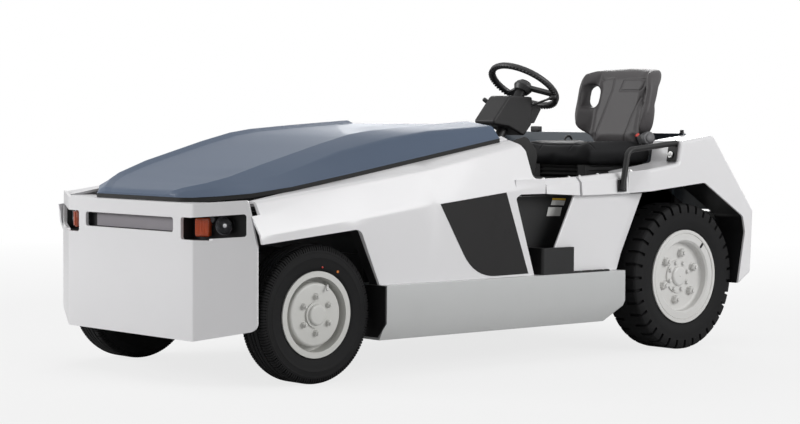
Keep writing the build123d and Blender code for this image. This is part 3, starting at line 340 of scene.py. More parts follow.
def softenNode(node, group):
    weld = node.modifiers.new("weld", "WELD")
    weld.merge_threshold = softEdges["weld"]
    if node.name in bevelled:
        bevel = node.modifiers.new("edge", "BEVEL")
        bevel.width = softEdges["width"]
        bevel.segments = 2
        bevel.limit_method = "ANGLE"
        bevel.angle_limit = math.radians(softEdges["sharp"])
    node.modifiers.new("smooth", "NODES").node_group = group
    if node.name in bevelled:
        node.modifiers.new("even", "WEIGHTED_NORMAL").keep_sharp = True


smoothByAngle = smoothGroup("smoothByAngle", softEdges["sharp"])
for node in nodes.values():
    softenNode(node, smoothByAngle)
print("CAD nodes finished")


def finished(name, shape, finish, body, crease=35):  # bmesh to a piece that rides on a body
    bmesh.ops.remove_doubles(shape, verts=shape.verts, dist=1e-5)
    bmesh.ops.recalc_face_normals(shape, faces=shape.faces)
    mesh = bpy.data.meshes.new(name)
    shape.to_mesh(mesh)
    shape.free()
    return linked(name, mesh, finish, body, crease)


def linked(name, mesh, finish, body, crease=35):
    mesh.polygons.foreach_set("use_smooth", [True] * len(mesh.polygons))
    mesh.set_sharp_from_angle(angle=math.radians(crease))
    mesh.materials.clear()
    mesh.materials.append(finishes[finish])
    piece = bpy.data.objects.new(name, mesh)
    bpy.context.scene.collection.objects.link(piece)
    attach(piece, body)
    return piece


def roundEdges(shape, edges, offset):
    bmesh.ops.bevel(shape, geom=edges, offset=offset, segments=2, profile=0.5, affect="EDGES",
                    material=-1)


def vertsIn(geometry):
    return [part for part in geometry if isinstance(part, bmesh.types.BMVert)]


def edgesIn(geometry):
    return [part for part in geometry if isinstance(part, bmesh.types.BMEdge)]


def turned(shape, profile, frameOf, steps, closed=False):  # spins (along, radius) points round Z
    verts = [shape.verts.new((radius, 0, along)) for along, radius in profile]
    ends = verts[1:] + verts[:1] if closed else verts[1:]
    edges = [shape.edges.new(pair) for pair in zip(verts, ends)]
    before = set(shape.verts) - set(verts)
    bmesh.ops.spin(shape, geom=verts + edges, cent=(0, 0, 0), axis=(0, 0, 1), dvec=(0, 0, 0),
                   angle=2 * math.pi, steps=steps, use_merge=True, use_duplicate=False)
    made = [vert for vert in shape.verts if vert not in before]
    bmesh.ops.remove_doubles(shape, verts=made, dist=1e-5)
    made = [vert for vert in shape.verts if vert not in before]
    bmesh.ops.transform(shape, matrix=frameOf, verts=made)


def facing(place, direction, twist=0.0):  # a frame at place whose Z looks along direction
    turn = Vector((0, 0, 1)).rotation_difference(Vector(direction)).to_matrix().to_4x4()
    return Matrix.Translation(place) @ turn @ Matrix.Rotation(twist, 4, "Z")


# A bolt is a stack of (flats, low radius, high radius, low, high)
def addBolt(shape, place, direction, stack, twist=0.0):
    for flats, lowRadius, highRadius, low, high in stack:
        lift = Matrix.Translation((0, 0, (low + high) / 2))
        bmesh.ops.create_cone(shape, cap_ends=True, segments=flats, radius1=lowRadius, radius2=highRadius,
                              depth=high - low, matrix=facing(place, direction, twist) @ lift)


def addBlock(shape, middle, size, edge, turn=Matrix.Identity(3)):  # a box with rounded edges
    place = Matrix.Translation(middle) @ turn.to_4x4() @ Matrix.Diagonal((*size, 1))
    made = bmesh.ops.create_cube(shape, size=1, matrix=place)
    roundEdges(shape, list({line for vert in made["verts"] for line in vert.link_edges}), edge)


def addTube(shape, points, radius, flats):  # a round bar along smooth points
    ring = bmesh.ops.create_circle(shape, segments=flats, radius=radius)["verts"]
    places = [Vector(point) for point in points]
    bmesh.ops.transform(shape, matrix=facing(places[0], places[1] - places[0]), verts=ring)
    edges = list({line for vert in ring for line in vert.link_edges})
    bmesh.ops.contextual_create(shape, geom=edges)
    here = (places[1] - places[0]).normalized()
    for index in range(1, len(places)):
        ahead = places[min(index + 1, len(places) - 1)] - places[index - 1]
        ahead.normalize()
        made = bmesh.ops.extrude_edge_only(shape, edges=edges)["geom"]
        edges = edgesIn(made)
        bend = here.rotation_difference(ahead).to_matrix().to_4x4()
        move = Matrix.Translation(places[index]) @ bend @ Matrix.Translation(-places[index - 1])
        bmesh.ops.transform(shape, matrix=move, verts=vertsIn(made))
        here = ahead
    bmesh.ops.contextual_create(shape, geom=edges)


def smoothPath(points, steps):  # a rounded path through a few given points
    places = [Vector(point) for point in points]
    places = [places[0]] + places + [places[-1]]
    path = []
    for a, b, c, d in zip(places, places[1:], places[2:], places[3:]):
        for step in range(steps):
            t = step / steps
            path.append(0.5 * (2 * b + (c - a) * t + (2 * a - 5 * b + 4 * c - d) * t ** 2
                               + (3 * b - a - 3 * c + d) * t ** 3))
    return path + [places[-1]]


def surface(node):  # a node's faces, ready for rays
    mesh = nodes[node].data
    return BVHTree.FromPolygons([vert.co for vert in mesh.vertices],
                                [face.vertices for face in mesh.polygons])


rayStart = 2.0  # outside the vehicle on every side


def hitX(tree, y, z, side):  # the outermost point on one side
    return tree.ray_cast(Vector((side * rayStart, y, z)), Vector((-side, 0, 0)))[0].x


def hitZ(tree, x, y):  # the highest point
    return tree.ray_cast(Vector((x, y, rayStart)), Vector((0, 0, -1)))[0].z


def laidFilm(outline, tree, side, look):  # a thin film laid on a side panel, from its (y, z) outline
    film = bmesh.new()
    film.faces.new([film.verts.new((0, y, z)) for y, z in outline])
    for axis in (0, 1):
        low = min(point[axis] for point in outline)
        high = max(point[axis] for point in outline)
        count = max(1, round((high - low) / look["cell"]))
        for step in range(1, count):
            level = low + (high - low) * step / count
            bmesh.ops.bisect_plane(film, geom=film.verts[:] + film.edges[:] + film.faces[:], dist=1e-6,
                                   plane_co=(0, level, level), plane_no=(0, 1 - axis, axis))
    for vert in film.verts:
        vert.co.x = hitX(tree, vert.co.y, vert.co.z, side) + side * look["lift"]
    outer = bmesh.ops.extrude_face_region(film, geom=film.faces[:])["geom"]
    bmesh.ops.translate(film, vec=(side * look["thick"], 0, 0), verts=vertsIn(outer))
    return film


def joined(shapes):  # several bmeshes as one
    whole = bmesh.new()
    for shape in shapes:
        mesh = bpy.data.meshes.new("part")
        shape.to_mesh(mesh)
        shape.free()
        whole.from_mesh(mesh)
        bpy.data.meshes.remove(mesh)
    return whole


print("shape tools ready")


# Tyres: half a section as (from the middle, radius), and a tread cut into its shoulders, where
# cuts give (wall, depth) for each place in the pattern
frontTyre = {
    "end": "front", "axle": (-1.160, 0.288), "across": 0.627, "steps": 288, "pattern": 6, "offset": 0,
    "cuts": {0: (0.0008, 0.0065), 2: (0.0024, 0.004), 4: (0.0024, 0.004)},
    "cutFrom": 0.2645, "cutIn": 0.041,
    "half": [(0.0655, 0.1648), (0.0655, 0.1825), (0.0700, 0.188), (0.0712, 0.193), (0.0726, 0.1945),
             (0.0745, 0.205),
             (0.0768, 0.218), (0.0775, 0.232), (0.0782, 0.2335), (0.0782, 0.236), (0.0772, 0.2375),
             (0.0765, 0.248), (0.0757, 0.2545), (0.0765, 0.256), (0.0763, 0.259), (0.0750, 0.2605),
             (0.0742, 0.2645), (0.0728, 0.273), (0.0700, 0.2805), (0.0640, 0.2862), (0.0560, 0.288),
             (0.0410, 0.288), (0.0398, 0.281), (0.0355, 0.281), (0.0343, 0.288), (0.0140, 0.288),
             (0.0128, 0.281), (0.0080, 0.281), (0.0068, 0.288), (0.0, 0.288)],
}
rearTyre = {
    "end": "rear", "axle": (1.047, 0.348), "across": 0.668, "steps": 140, "pattern": 4, "offset": 2,
    "cuts": {0: (0.0012, 0.013)}, "cutFrom": 0.304, "cutIn": 0.026,
    "half": [(0.0880, 0.1908), (0.0880, 0.2245), (0.0905, 0.2300), (0.0925, 0.2320), (0.0935, 0.2390),
             (0.0965, 0.2500), (0.0990, 0.2660), (0.1000, 0.2850), (0.0992, 0.2990), (0.0998, 0.3040),
             (0.0985, 0.3160), (0.0965, 0.3290), (0.0925, 0.3395), (0.0845, 0.3460), (0.0720, 0.348),
             (0.0480, 0.348), (0.0260, 0.348), (0.0100, 0.348), (0.0, 0.348)],
}


def makeTyre(look, sideName):  # a plain ring, with its cuts pressed in by inset
    side = sides[sideName]
    axleY, axleZ = look["axle"]
    half = look["half"]
    section = half + [(-across, radius) for across, radius in reversed(half[:-1])]
    shape = bmesh.new()
    turned(shape, section, Matrix(), look["steps"], closed=True)
    bmesh.ops.recalc_face_normals(shape, faces=shape.faces)
    groups = {}
    for face in shape.faces:
        middle = face.calc_center_median()
        reach = math.hypot(middle.x, middle.y)
        if reach < look["cutFrom"] or abs(middle.z) < look["cutIn"]:
            continue
        turn = round(math.atan2(middle.y, middle.x) / math.tau * look["steps"] - 0.5)
        shift = look["offset"] if middle.z < 0 else 0
        cut = look["cuts"].get((turn + shift) % look["pattern"])
        if cut:
            groups.setdefault(cut, []).append(face)
    for (wall, depth), faces in groups.items():
        bmesh.ops.inset_region(shape, faces=faces, thickness=wall, depth=-depth, use_even_offset=True,
                               use_boundary=True)
    upright = Matrix.Rotation(math.pi / 2, 4, "Y")
    place = Matrix.Translation((side * look["across"], axleY, axleZ)) @ upright
    bmesh.ops.transform(shape, matrix=place, verts=shape.verts)
    name = f"{look['end']}_tyre_tread_{sideName}"
    tyre = finished(name, shape, "tyreRubber", f"{look['end']}_wheel_{sideName}", 28)
    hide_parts(f"{look['end']}_tyre_{sideName}")


# Wheel nuts, hub bolts, valve and lock ring, each at a face beyond the tyre's middle
wheelParts = {
    "front": {"face": 0.0645, "nuts": 6, "circle": 0.0755, "first": 0.0, "finish": "rimPaint",
              "nut": [(24, 0.0145, 0.0125, -0.001, 0.004), (6, 0.0125, 0.0125, 0.004, 0.014),
                      (6, 0.0125, 0.0095, 0.014, 0.0175), (12, 0.0062, 0.0055, 0.0175, 0.024)]},
    "rear": {"face": 0.051, "nuts": 6, "circle": 0.1125, "first": -0.17, "finish": "rearRimPaint",
             "nut": [(24, 0.0215, 0.0200, -0.001, 0.005), (6, 0.0200, 0.0200, 0.005, 0.021),
                     (6, 0.0200, 0.0160, 0.021, 0.026), (14, 0.0100, 0.0090, 0.026, 0.034)]},
}
hubBolts = {"face": 0.059, "count": 8, "circle": 0.0665, "first": 0.3,
            "bolt": [(20, 0.0125, 0.0125, -0.001, 0.0015), (6, 0.0110, 0.0110, 0.0015, 0.0090),
                     (6, 0.0110, 0.0090, 0.0090, 0.0110)]}
capScrew = {"face": 0.072,
            "screw": [(20, 0.0050, 0.0050, -0.001, 0.0010), (16, 0.0036, 0.0030, 0.0010, 0.0024)]}
valve = {"reach": 0.134, "turn": 64, "radius": 0.0038,
         "path": [(0.0, 0.056), (0.002, 0.066), (-0.004, 0.073), (-0.016, 0.078)],
         "cap": [(10, 0.0052, 0.0052, -0.001, 0.009), (10, 0.0052, 0.003, 0.009, 0.011)]}
lockRing = {"inner": 0.1745, "outer": 0.2035, "turn": 49, "face": 0.0952,
            "split": (0.0045, 0.0042), "lip": (0.0058, 0.0022), "lipShort": 0.004,
            "edge": 0.0012, "lipEdge": 0.0008}


def wheelSpot(look, side, reach, turn, face):  # a point on a wheel's outer side
    axleY, axleZ = look["axle"]
    return (side * (look["across"] + face), axleY + reach * math.cos(turn),
            axleZ + reach * math.sin(turn))


def makeWheelParts(tyreLook, sideName):
    end = tyreLook["end"]
    side = sides[sideName]
    look = wheelParts[end]
    out = (side, 0, 0)
    shape = bmesh.new()
    for index in range(look["nuts"]):
        turn = look["first"] + math.pi / 2 + index * math.tau / look["nuts"]
        spot = wheelSpot(tyreLook, side, look["circle"], turn, look["face"])
        addBolt(shape, spot, out, look["nut"], turn)
    if end == "rear":
        for index in range(hubBolts["count"]):
            turn = index * math.tau / hubBolts["count"] + hubBolts["first"]
            spot = wheelSpot(tyreLook, side, hubBolts["circle"], turn, hubBolts["face"])
            addBolt(shape, spot, out, hubBolts["bolt"], turn)
        addBolt(shape, wheelSpot(tyreLook, side, 0, 0, capScrew["face"]), out, capScrew["screw"])
    body = f"{end}_wheel_{sideName}"
    finished(f"{end}_wheel_nuts_{sideName}", shape, look["finish"], body)


def makeValve(tyreLook, sideName):
    side = sides[sideName]
    turn = math.radians(valve["turn"])
    spots = [wheelSpot(tyreLook, side, valve["reach"] + out, turn, face) for out, face in valve["path"]]
    shape = bmesh.new()
    addTube(shape, smoothPath(spots, 4), valve["radius"], 10)
    tip = Vector(spots[-1])
    addBolt(shape, tip, tip - Vector(spots[-2]), valve["cap"])
    finished(f"front_valve_{sideName}", shape, "zincSteel", f"front_wheel_{sideName}")


def makeLockRing(tyreLook, sideName):  # the split of the rear rim's lock ring
    side = sides[sideName]
    turn = math.radians(lockRing["turn"])
    reach = (lockRing["inner"] + lockRing["outer"]) / 2
    length = lockRing["outer"] - lockRing["inner"]
    middle = Vector(wheelSpot(tyreLook, side, reach, turn, lockRing["face"]))
    tip = Matrix.Rotation(turn, 3, "X")
    deep, wide = lockRing["split"]
    lipDeep, lipWide = lockRing["lip"]
    across = Vector((0, -math.sin(turn), math.cos(turn))) * (wide / 2 + lipWide)
    shape = bmesh.new()
    addBlock(shape, middle, (deep, length, wide), lockRing["edge"], tip)
    lip = (lipDeep, length - lockRing["lipShort"], lipWide)
    for way in (1, -1):
        addBlock(shape, middle + across * way, lip, lockRing["lipEdge"], tip)
    name = f"rear_lock_ring_split_{sideName}"
    finished(name, shape, "blackSteel", f"rear_wheel_{sideName}")


tyreMarkFace = 0.0770
tyreMarks = {"orange": {"y": -1.052, "z": 0.461, "radius": 0.0055, "finish": "orangeMark"},
             "red": {"y": -1.133, "z": 0.483, "radius": 0.0035, "finish": "redPlastic"}}


def makeTyreMark(name, look):  # a paint dot beside the left front tyre's bead
    radius = look["radius"]
    place = (frontTyre["across"] + tyreMarkFace, look["y"], look["z"])
    shape = bmesh.new()
    addBolt(shape, place, (1, 0, 0),
            [(16, radius, radius, -0.003, 0.0006), (16, radius, radius * 0.8, 0.0006, 0.0010)])
    finished(f"tyre_mark_{name}", shape, look["finish"], "front_wheel_left")


for tyreLook in (frontTyre, rearTyre):
    for sideName in sides:
        makeTyre(tyreLook, sideName)
        makeWheelParts(tyreLook, sideName)
for sideName in sides:
    makeValve(frontTyre, sideName)
    makeLockRing(rearTyre, sideName)
for markName, markLook in tyreMarks.items():
    makeTyreMark(markName, markLook)
print("wheels dressed")


# The seat: two foam pads, swollen by a cloth simulation and then sewn
clothLook = {"frames": 20, "quality": 4, "stretch": 30, "bend": 4.0}
sewing = {"reach": 0.03, "facing": 0.25, "least": 0.02}
seatPads = {
    "seat_cushion_pad": {
        "node": "seat_cushion", "voxel": 0.006, "inset": 0.002, "rounding": 16, "pressure": 1.2,
        "cap": 0.010, "crown": 0.014, "settle": 10, "fill": 0.8, "finish": "seatVinyl",
        "face": (0, 0, 1), "seamDepth": 0.0035, "seamWidth": 0.005,
        "seams": [[(0.262, 0.575), (0.252, 0.70), (0.250, 0.97)],
                  [(0.458, 0.575), (0.468, 0.70), (0.470, 0.97)],
                  [(0.13, 0.600), (0.36, 0.590), (0.59, 0.600)]],
    },
    "seat_back_pad": {
        "node": "seat_back", "voxel": 0.006, "inset": 0.002, "rounding": 26, "pressure": 1.6,
        "cap": 0.012, "crown": 0.0, "settle": 4, "fill": 0.8, "finish": "backVinylPaintedLight",
        "face": (0, -1, 0), "seamDepth": 0.0032, "seamWidth": 0.0045,
        "seams": [[(0.225, 1.288), (0.308, 1.300), (0.305, 1.240), (0.272, 1.120), (0.236, 0.985)],
                  [(0.496, 1.200), (0.462, 1.110), (0.428, 0.985)],
                  [(0.386, 1.290), (0.512, 1.290), (0.500, 1.248), (0.484, 1.235), (0.356, 1.235),
                   (0.372, 1.285), (0.386, 1.290)]],
    },
}


def evaluatedMesh(piece):
    return bpy.data.meshes.new_from_object(piece.evaluated_get(bpy.context.evaluated_depsgraph_get()))


def swapMesh(piece, mesh):
    old = piece.data
    piece.data = mesh
    bpy.data.meshes.remove(old)


def remeshed(piece, voxel):
    change = piece.modifiers.new("even", "REMESH")
    change.mode = "VOXEL"
    change.voxel_size = voxel
    mesh = evaluatedMesh(piece)
    piece.modifiers.clear()
    swapMesh(piece, mesh)


def swell(piece, look):  # pressure from inside with no gravity, and no point moves past the cap
    start = [vert.co.copy() for vert in piece.data.vertices]
    cloth = piece.modifiers.new("cloth", "CLOTH")
    cloth.settings.quality = clothLook["quality"]
    cloth.settings.use_pressure = True
    cloth.settings.uniform_pressure_force = look["pressure"]
    cloth.settings.effector_weights.gravity = 0
    cloth.settings.tension_stiffness = clothLook["stretch"]
    cloth.settings.compression_stiffness = clothLook["stretch"]
    cloth.settings.bending_stiffness = clothLook["bend"]
    scene = bpy.context.scene
    for step in range(1, clothLook["frames"] + 1):
        scene.frame_set(step)
    mesh = evaluatedMesh(piece)
    piece.modifiers.clear()
    scene.frame_set(1)
    for vert, place in zip(mesh.vertices, start):
        move = vert.co - place
        if move.length > look["cap"]:
            vert.co = place + move * (look["cap"] / move.length)
    swapMesh(piece, mesh)


def gapToLine(point, line):
    gaps = []
    for a, b in zip(line, line[1:]):
        way = b - a
        share = max(0.0, min(1.0, (point - a).dot(way) / way.length_squared))
        gaps.append((point - (a + way * share)).length)
    return min(gaps)


def sew(mesh, look):  # presses the seams into the face that the sitter touches
    face = Vector(look["face"])
    second = 1 if look["face"][2] else 2
    lines = [[Vector(point) for point in line] for line in look["seams"]]
    reach = sewing["reach"]
    bounds = [(min(point.x for point in line) - reach, max(point.x for point in line) + reach,
               min(point.y for point in line) - reach, max(point.y for point in line) + reach)
              for line in lines]
    moved = []
    for vert in mesh.vertices:
        if vert.normal.dot(face) < sewing["facing"]:
            continue
        point = Vector((vert.co.x, vert.co[second]))
        press = 0.0
        for line, (west, east, low, high) in zip(lines, bounds):
            if west < point.x < east and low < point.y < high:
                gap = gapToLine(point, line) / look["seamWidth"]
                press = max(press, math.exp(-gap * gap))
        if press > sewing["least"]:
            moved.append((vert.index, vert.co - vert.normal * look["seamDepth"] * press))
    for index, place in moved:
        mesh.vertices[index].co = place


def evened(mesh, rounds):  # relaxes a pad's skin
    shape = bmesh.new()
    shape.from_mesh(mesh)
    for _ in range(rounds):
        bmesh.ops.smooth_vert(shape, verts=shape.verts, factor=0.5,
                              use_axis_x=True, use_axis_y=True, use_axis_z=True)
    shape.to_mesh(mesh)
    shape.free()


def crowned(mesh, height):  # lifts the middle of a cushion's top
    low = [min(vert.co[axis] for vert in mesh.vertices) for axis in range(3)]
    high = [max(vert.co[axis] for vert in mesh.vertices) for axis in range(3)]
    for vert in mesh.vertices:
        u, v, w = ((vert.co[axis] - low[axis]) / (high[axis] - low[axis]) for axis in range(3))
        dome = (1 - abs(2 * u - 1) ** 4) * (1 - abs(2 * v - 1) ** 6)
        vert.co.z += height * dome * max(0.0, w * 1.4 - 0.4)


def makePad(name, look):
    shape = bmesh.new()
    shape.from_mesh(nodes[look["node"]].data)
    bmesh.ops.remove_doubles(shape, verts=shape.verts, dist=1e-5)
    shape.normal_update()
    for vert in shape.verts:
        vert.co -= vert.normal * look["inset"]
    mesh = bpy.data.meshes.new(name)
    shape.to_mesh(mesh)
    shape.free()
    pad = linked(name, mesh, look["finish"], "chassis", 60)
    remeshed(pad, look["voxel"])
    evened(pad.data, look["rounding"])
    crowned(pad.data, look["crown"])
    swell(pad, look)
    evened(pad.data, look["settle"])
    finer = pad.modifiers.new("finer", "SUBSURF")
    finer.levels = finer.render_levels = 1
    mesh = evaluatedMesh(pad)
    pad.modifiers.clear()
    swapMesh(pad, mesh)
    sew(pad.data, look)
    pad.data.polygons.foreach_set("use_smooth", [True] * len(pad.data.polygons))
    pad.data.materials.clear()
    pad.data.materials.append(finishes[look["finish"]])
    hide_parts(look["node"])
    print(name, len(pad.data.polygons), "faces")


for padName, padLook in seatPads.items():
    makePad(padName, padLook)
print("seat padded")


# Lamps: the flare's plane starts at the nose corner and runs out and back
flare = {"start": (0.460, -1.615), "along": (0.8845, 0.4666)}
headlamp = {
    "along": 0.124, "height": 0.660, "depth": 0.066,
    "bowl": [(0.0, 0.0060), (0.004, 0.0140), (0.010, 0.0215), (0.018, 0.0280), (0.026, 0.0325),
             (0.0318, 0.0345), (0.0335, 0.0370), (0.0310, 0.0370), (0.0, 0.0300), (-0.0005, 0.0060)],
    "glass": [(0.0300, 0.0344), (0.0345, 0.0335), (0.0375, 0.0290), (0.0395, 0.0200), (0.0403, 0.0100),
              (0.0405, 0.0)],
    "bulb": [(0.0005, 0.0080), (0.0120, 0.0080), (0.0150, 0.0110), (0.0200, 0.0115), (0.0240, 0.0080),
             (0.0255, 0.0)],
}
turnLamp = {"along": 0.027, "height": 0.6525, "depth": 0.066, "size": (0.062, 0.078, 0.036),
            "edge": 0.006, "ribs": 8, "ribRadius": 0.0042, "ribStep": 1.72, "ribEnd": 0.008}
lampBox = {"along": 0.062, "height": 0.6855, "depth": 0.058, "size": (0.026, 0.024, 0.020),
           "edge": 0.003}


def lampFrame(look, side):  # a frame on a lamp housing's floor that looks out of the flare
    alongX, alongY = flare["along"]
    place = (side * (flare["start"][0] + alongX * look["along"] - alongY * look["depth"]),
             flare["start"][1] + alongY * look["along"] + alongX * look["depth"], look["height"])
    return facing(place, (side * alongY, -alongX, 0))


def addTurnLamp(shape, look, side):  # a block with upright half-round ribs on its face
    spot = lampFrame(look, side)
    out = spot.to_3x3() @ Vector((0, 0, 1))
    along = Vector((side * flare["along"][0], flare["along"][1], 0))
    turn = Matrix((along, (0, 0, 1), out)).transposed()
    wide, high, deep = look["size"]
    addBlock(shape, spot.translation + out * deep / 2, look["size"], look["edge"], turn)
    for index in range(look["ribs"]):
        shift = (index - (look["ribs"] - 1) / 2) * look["ribRadius"] * look["ribStep"]
        middle = spot.translation + out * deep + along * shift
        rise = Vector((0, 0, high / 2 - look["ribEnd"]))
        addTube(shape, [middle - rise, middle + rise], look["ribRadius"], 10)


def makeLamps():
    bowls, glasses, bulbs, ambers, boxes = (bmesh.new() for _ in range(5))
    for side in sides.values():
        spot = lampFrame(headlamp, side)
        turned(bowls, headlamp["bowl"], spot, 48, closed=True)
        turned(glasses, headlamp["glass"], spot, 48)
        turned(bulbs, headlamp["bulb"], spot, 20)
        addTurnLamp(ambers, turnLamp, side)
        boxSpot = lampFrame(lampBox, side)
        addBlock(boxes, boxSpot.translation, lampBox["size"], lampBox["edge"], boxSpot.to_3x3())
    bowl = finished("headlamp_bowls", bowls, "darkChrome", "chassis")
    finished("headlamp_glasses", glasses, "clearLens", "chassis")
    finished("headlamp_bulbs", bulbs, "chrome", "chassis")
    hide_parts("headlamps")
    amber = finished("turn_lamp_lenses", ambers, "amberLens", "chassis", 50)
    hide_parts("turn_lamps")
    finished("lamp_junction_boxes", boxes, "greyPlastic", "chassis")


makeLamps()

# The bare black panel on each flank, and the blank labels inside the step
decal = {"corners": [(-0.510, 0.730), (-0.116, 0.772), (0.047, 0.4045)], "lowFront": (-0.285, 0.4015),
         "round": 0.13, "cell": 0.035, "lift": 0.0006, "thick": 0.0005}
labels = {
    "white": [[(0.303, 0.724), (0.389, 0.720), (0.379, 0.698), (0.294, 0.702)],
              [(0.279, 0.693), (0.367, 0.690), (0.355, 0.650), (0.267, 0.652)]],
    "yellow": [[(0.3035, 0.734), (0.391, 0.730), (0.3895, 0.721), (0.3035, 0.725)]],
}
labelFilm = {"cell": 0.05, "lift": 0.0008, "thick": 0.0006}


def decalOutline(look):  # the low front corner is a wide arc
    first = Vector(look["corners"][0])
    last = Vector(look["corners"][2])
    corner = Vector(look["lowFront"])
    start = corner + (last - corner).normalized() * look["round"]
    end = corner + (first - corner).normalized() * look["round"]
    arc = []
    for step in range(9):
        t = step / 8
        arc.append(tuple((1 - t) ** 2 * start + 2 * t * (1 - t) * corner + t * t * end))
    return look["corners"] + arc


flank = surface("front_sides")
films = joined([laidFilm(decalOutline(decal), flank, side, decal) for side in sides.values()])
finished("flank_panels", films, "decalFilm", "chassis", 50)
stepWall = surface("step_wells")
for colour, outlines in labels.items():
    films = joined([laidFilm(outline, stepWall, 1, labelFilm) for outline in outlines])
    finished(f"blank_labels_{colour}", films, "label" + colour.capitalize(), "chassis", 50)

# Rubber kick strips on the beams, with their screws
kickStrip = {"from": 0.128, "to": 0.560, "x": 0.7245, "width": 0.020, "z": 0.3985, "height": 0.007,
             "edge": 0.0015, "ribs": 5, "ribSize": 0.0020, "ribSpread": 0.72, "ribShort": 0.006,
             "ribEdge": 0.0006, "screws": 6,
             "screw": [(16, 0.0045, 0.0040, 0.0, 0.0022), (16, 0.0040, 0.0022, 0.0022, 0.0030)]}


def makeKickStrips(look):
    shape = bmesh.new()
    screws = bmesh.new()
    middleY = (look["from"] + look["to"]) / 2
    length = look["to"] - look["from"]
    top = look["z"] + look["height"] / 2
    rib = (look["ribSize"], length - look["ribShort"], look["ribSize"])
    strip = (look["width"], length, look["height"])
    for side in sides.values():
        addBlock(shape, (side * look["x"], middleY, look["z"]), strip, look["edge"])
        for index in range(look["ribs"]):
            x = look["x"] + (index / (look["ribs"] - 1) - 0.5) * look["width"] * look["ribSpread"]
            addBlock(shape, (side * x, middleY, top), rib, look["ribEdge"])
        for index in range(look["screws"]):
            y = look["from"] + length * (index + 0.5) / look["screws"]
            addBolt(screws, (side * look["x"], y, top), (0, 0, 1), look["screw"])
    finished("kick_strips", shape, "blackRubber", "chassis")
    finished("kick_strip_screws", screws, "zincSteel", "chassis")


makeKickStrips(kickStrip)

# Dome screws on the rails, and the bolts of the hip rails
domeScrew = [(20, 0.0075, 0.0075, -0.001, 0.0010), (20, 0.0062, 0.0052, 0.0010, 0.0032),
             (20, 0.0052, 0.0026, 0.0032, 0.0044)]
hipBolt = [(24, 0.0150, 0.0150, -0.001, 0.0022), (20, 0.0115, 0.0105, 0.0022, 0.0060),
           (20, 0.0105, 0.0060, 0.0060, 0.0090)]
railScrews = [(0.690, 0.165), (0.690, 0.330), (0.690, 0.400), (0.690, 0.520)]
coverEnd = 0.352  # the rail covers end here and the fenders begin
hipBolts = {"top": (0.736, 0.690), "plate": (0.752, 0.9515, 0.930), "plateFace": (0, -0.98, 0.18)}


def makeRailScrews():
    shape = bmesh.new()
    covers = surface("rail_covers")
    fenders = surface("rear_fenders")
    for side in sides.values():
        for x, y in railScrews:
            tree = covers if y < coverEnd else fenders
            addBolt(shape, (side * x, y, hitZ(tree, side * x, y)), (0, 0, 1), domeScrew)
        x, y = hipBolts["top"]
        addBolt(shape, (side * x, y, hitZ(fenders, side * x, y)), (0, 0, 1), hipBolt)
        x, y, z = hipBolts["plate"]
        addBolt(shape, (side * x, y, z), hipBolts["plateFace"], hipBolt)
    finished("rail_screws", shape, "zincSteel", "chassis")


makeRailScrews()

# Steering wheel: finger ridges under the rim, a cap ring, and the two stalks on the column
helm = {"centre": (0.360, 0.365, 1.252), "axis": (0, 0.559, 0.829), "radius": 0.177, "ridges": 64,
        "ridgeRadius": 0.0052, "stretch": 1.25, "drop": 0.0112, "pull": 0.0050,
        "cap": [(0.0130, 0.0300), (0.0155, 0.0292), (0.0165, 0.0270), (0.0162, 0.0250), (0.0172, 0.0235),
                (0.0185, 0.0120), (0.0190, 0.0)]}
stalks = {
    "left": {"points": [(0.300, 0.232, 1.150), (0.290, 0.226, 1.157), (0.276, 0.214, 1.170)],
             "tip": (0.262, 0.203, 1.184)},
    "right": {"points": [(0.420, 0.345, 1.155), (0.448, 0.362, 1.168), (0.486, 0.384, 1.184)],
              "tip": (0.520, 0.402, 1.198)},
}
stalkRadius = 0.0052
stalkGrip = [(-0.024, 0.0), (-0.024, 0.0075), (-0.020, 0.0098), (-0.004, 0.0108), (0.004, 0.0100),
             (0.008, 0.0070), (0.0095, 0.0)]


def makeHelm(look):
    shape = bmesh.new()
    turn = facing(look["centre"], look["axis"])
    place = (look["radius"] - look["pull"], 0, -look["drop"])
    shift = Matrix.Translation(place) @ Matrix.Diagonal((look["stretch"], 1, 1, 1))
    for index in range(look["ridges"]):
        angle = index * math.tau / look["ridges"]
        lump = turn @ Matrix.Rotation(angle, 4, "Z") @ shift
        bmesh.ops.create_uvsphere(shape, u_segments=8, v_segments=6, radius=look["ridgeRadius"],
                                  matrix=lump)
    finished("helm_finger_ridges", shape, "wheelGrip", "steering_wheel")
    shape = bmesh.new()
    turned(shape, look["cap"], turn, 40)
    finished("helm_cap", shape, "columnPlastic", "steering_wheel")


def makeStalk(name, look):
    shape = bmesh.new()
    addTube(shape, smoothPath(look["points"] + [look["tip"]], 4), stalkRadius, 12)
    tip = Vector(look["tip"])
    turned(shape, stalkGrip, facing(tip, tip - Vector(look["points"][-1])), 24)
    finished(f"column_stalk_{name}", shape, "wheelGrip", "chassis")


makeHelm(helm)
for stalkName, stalkLook in stalks.items():
    makeStalk(stalkName, stalkLook)

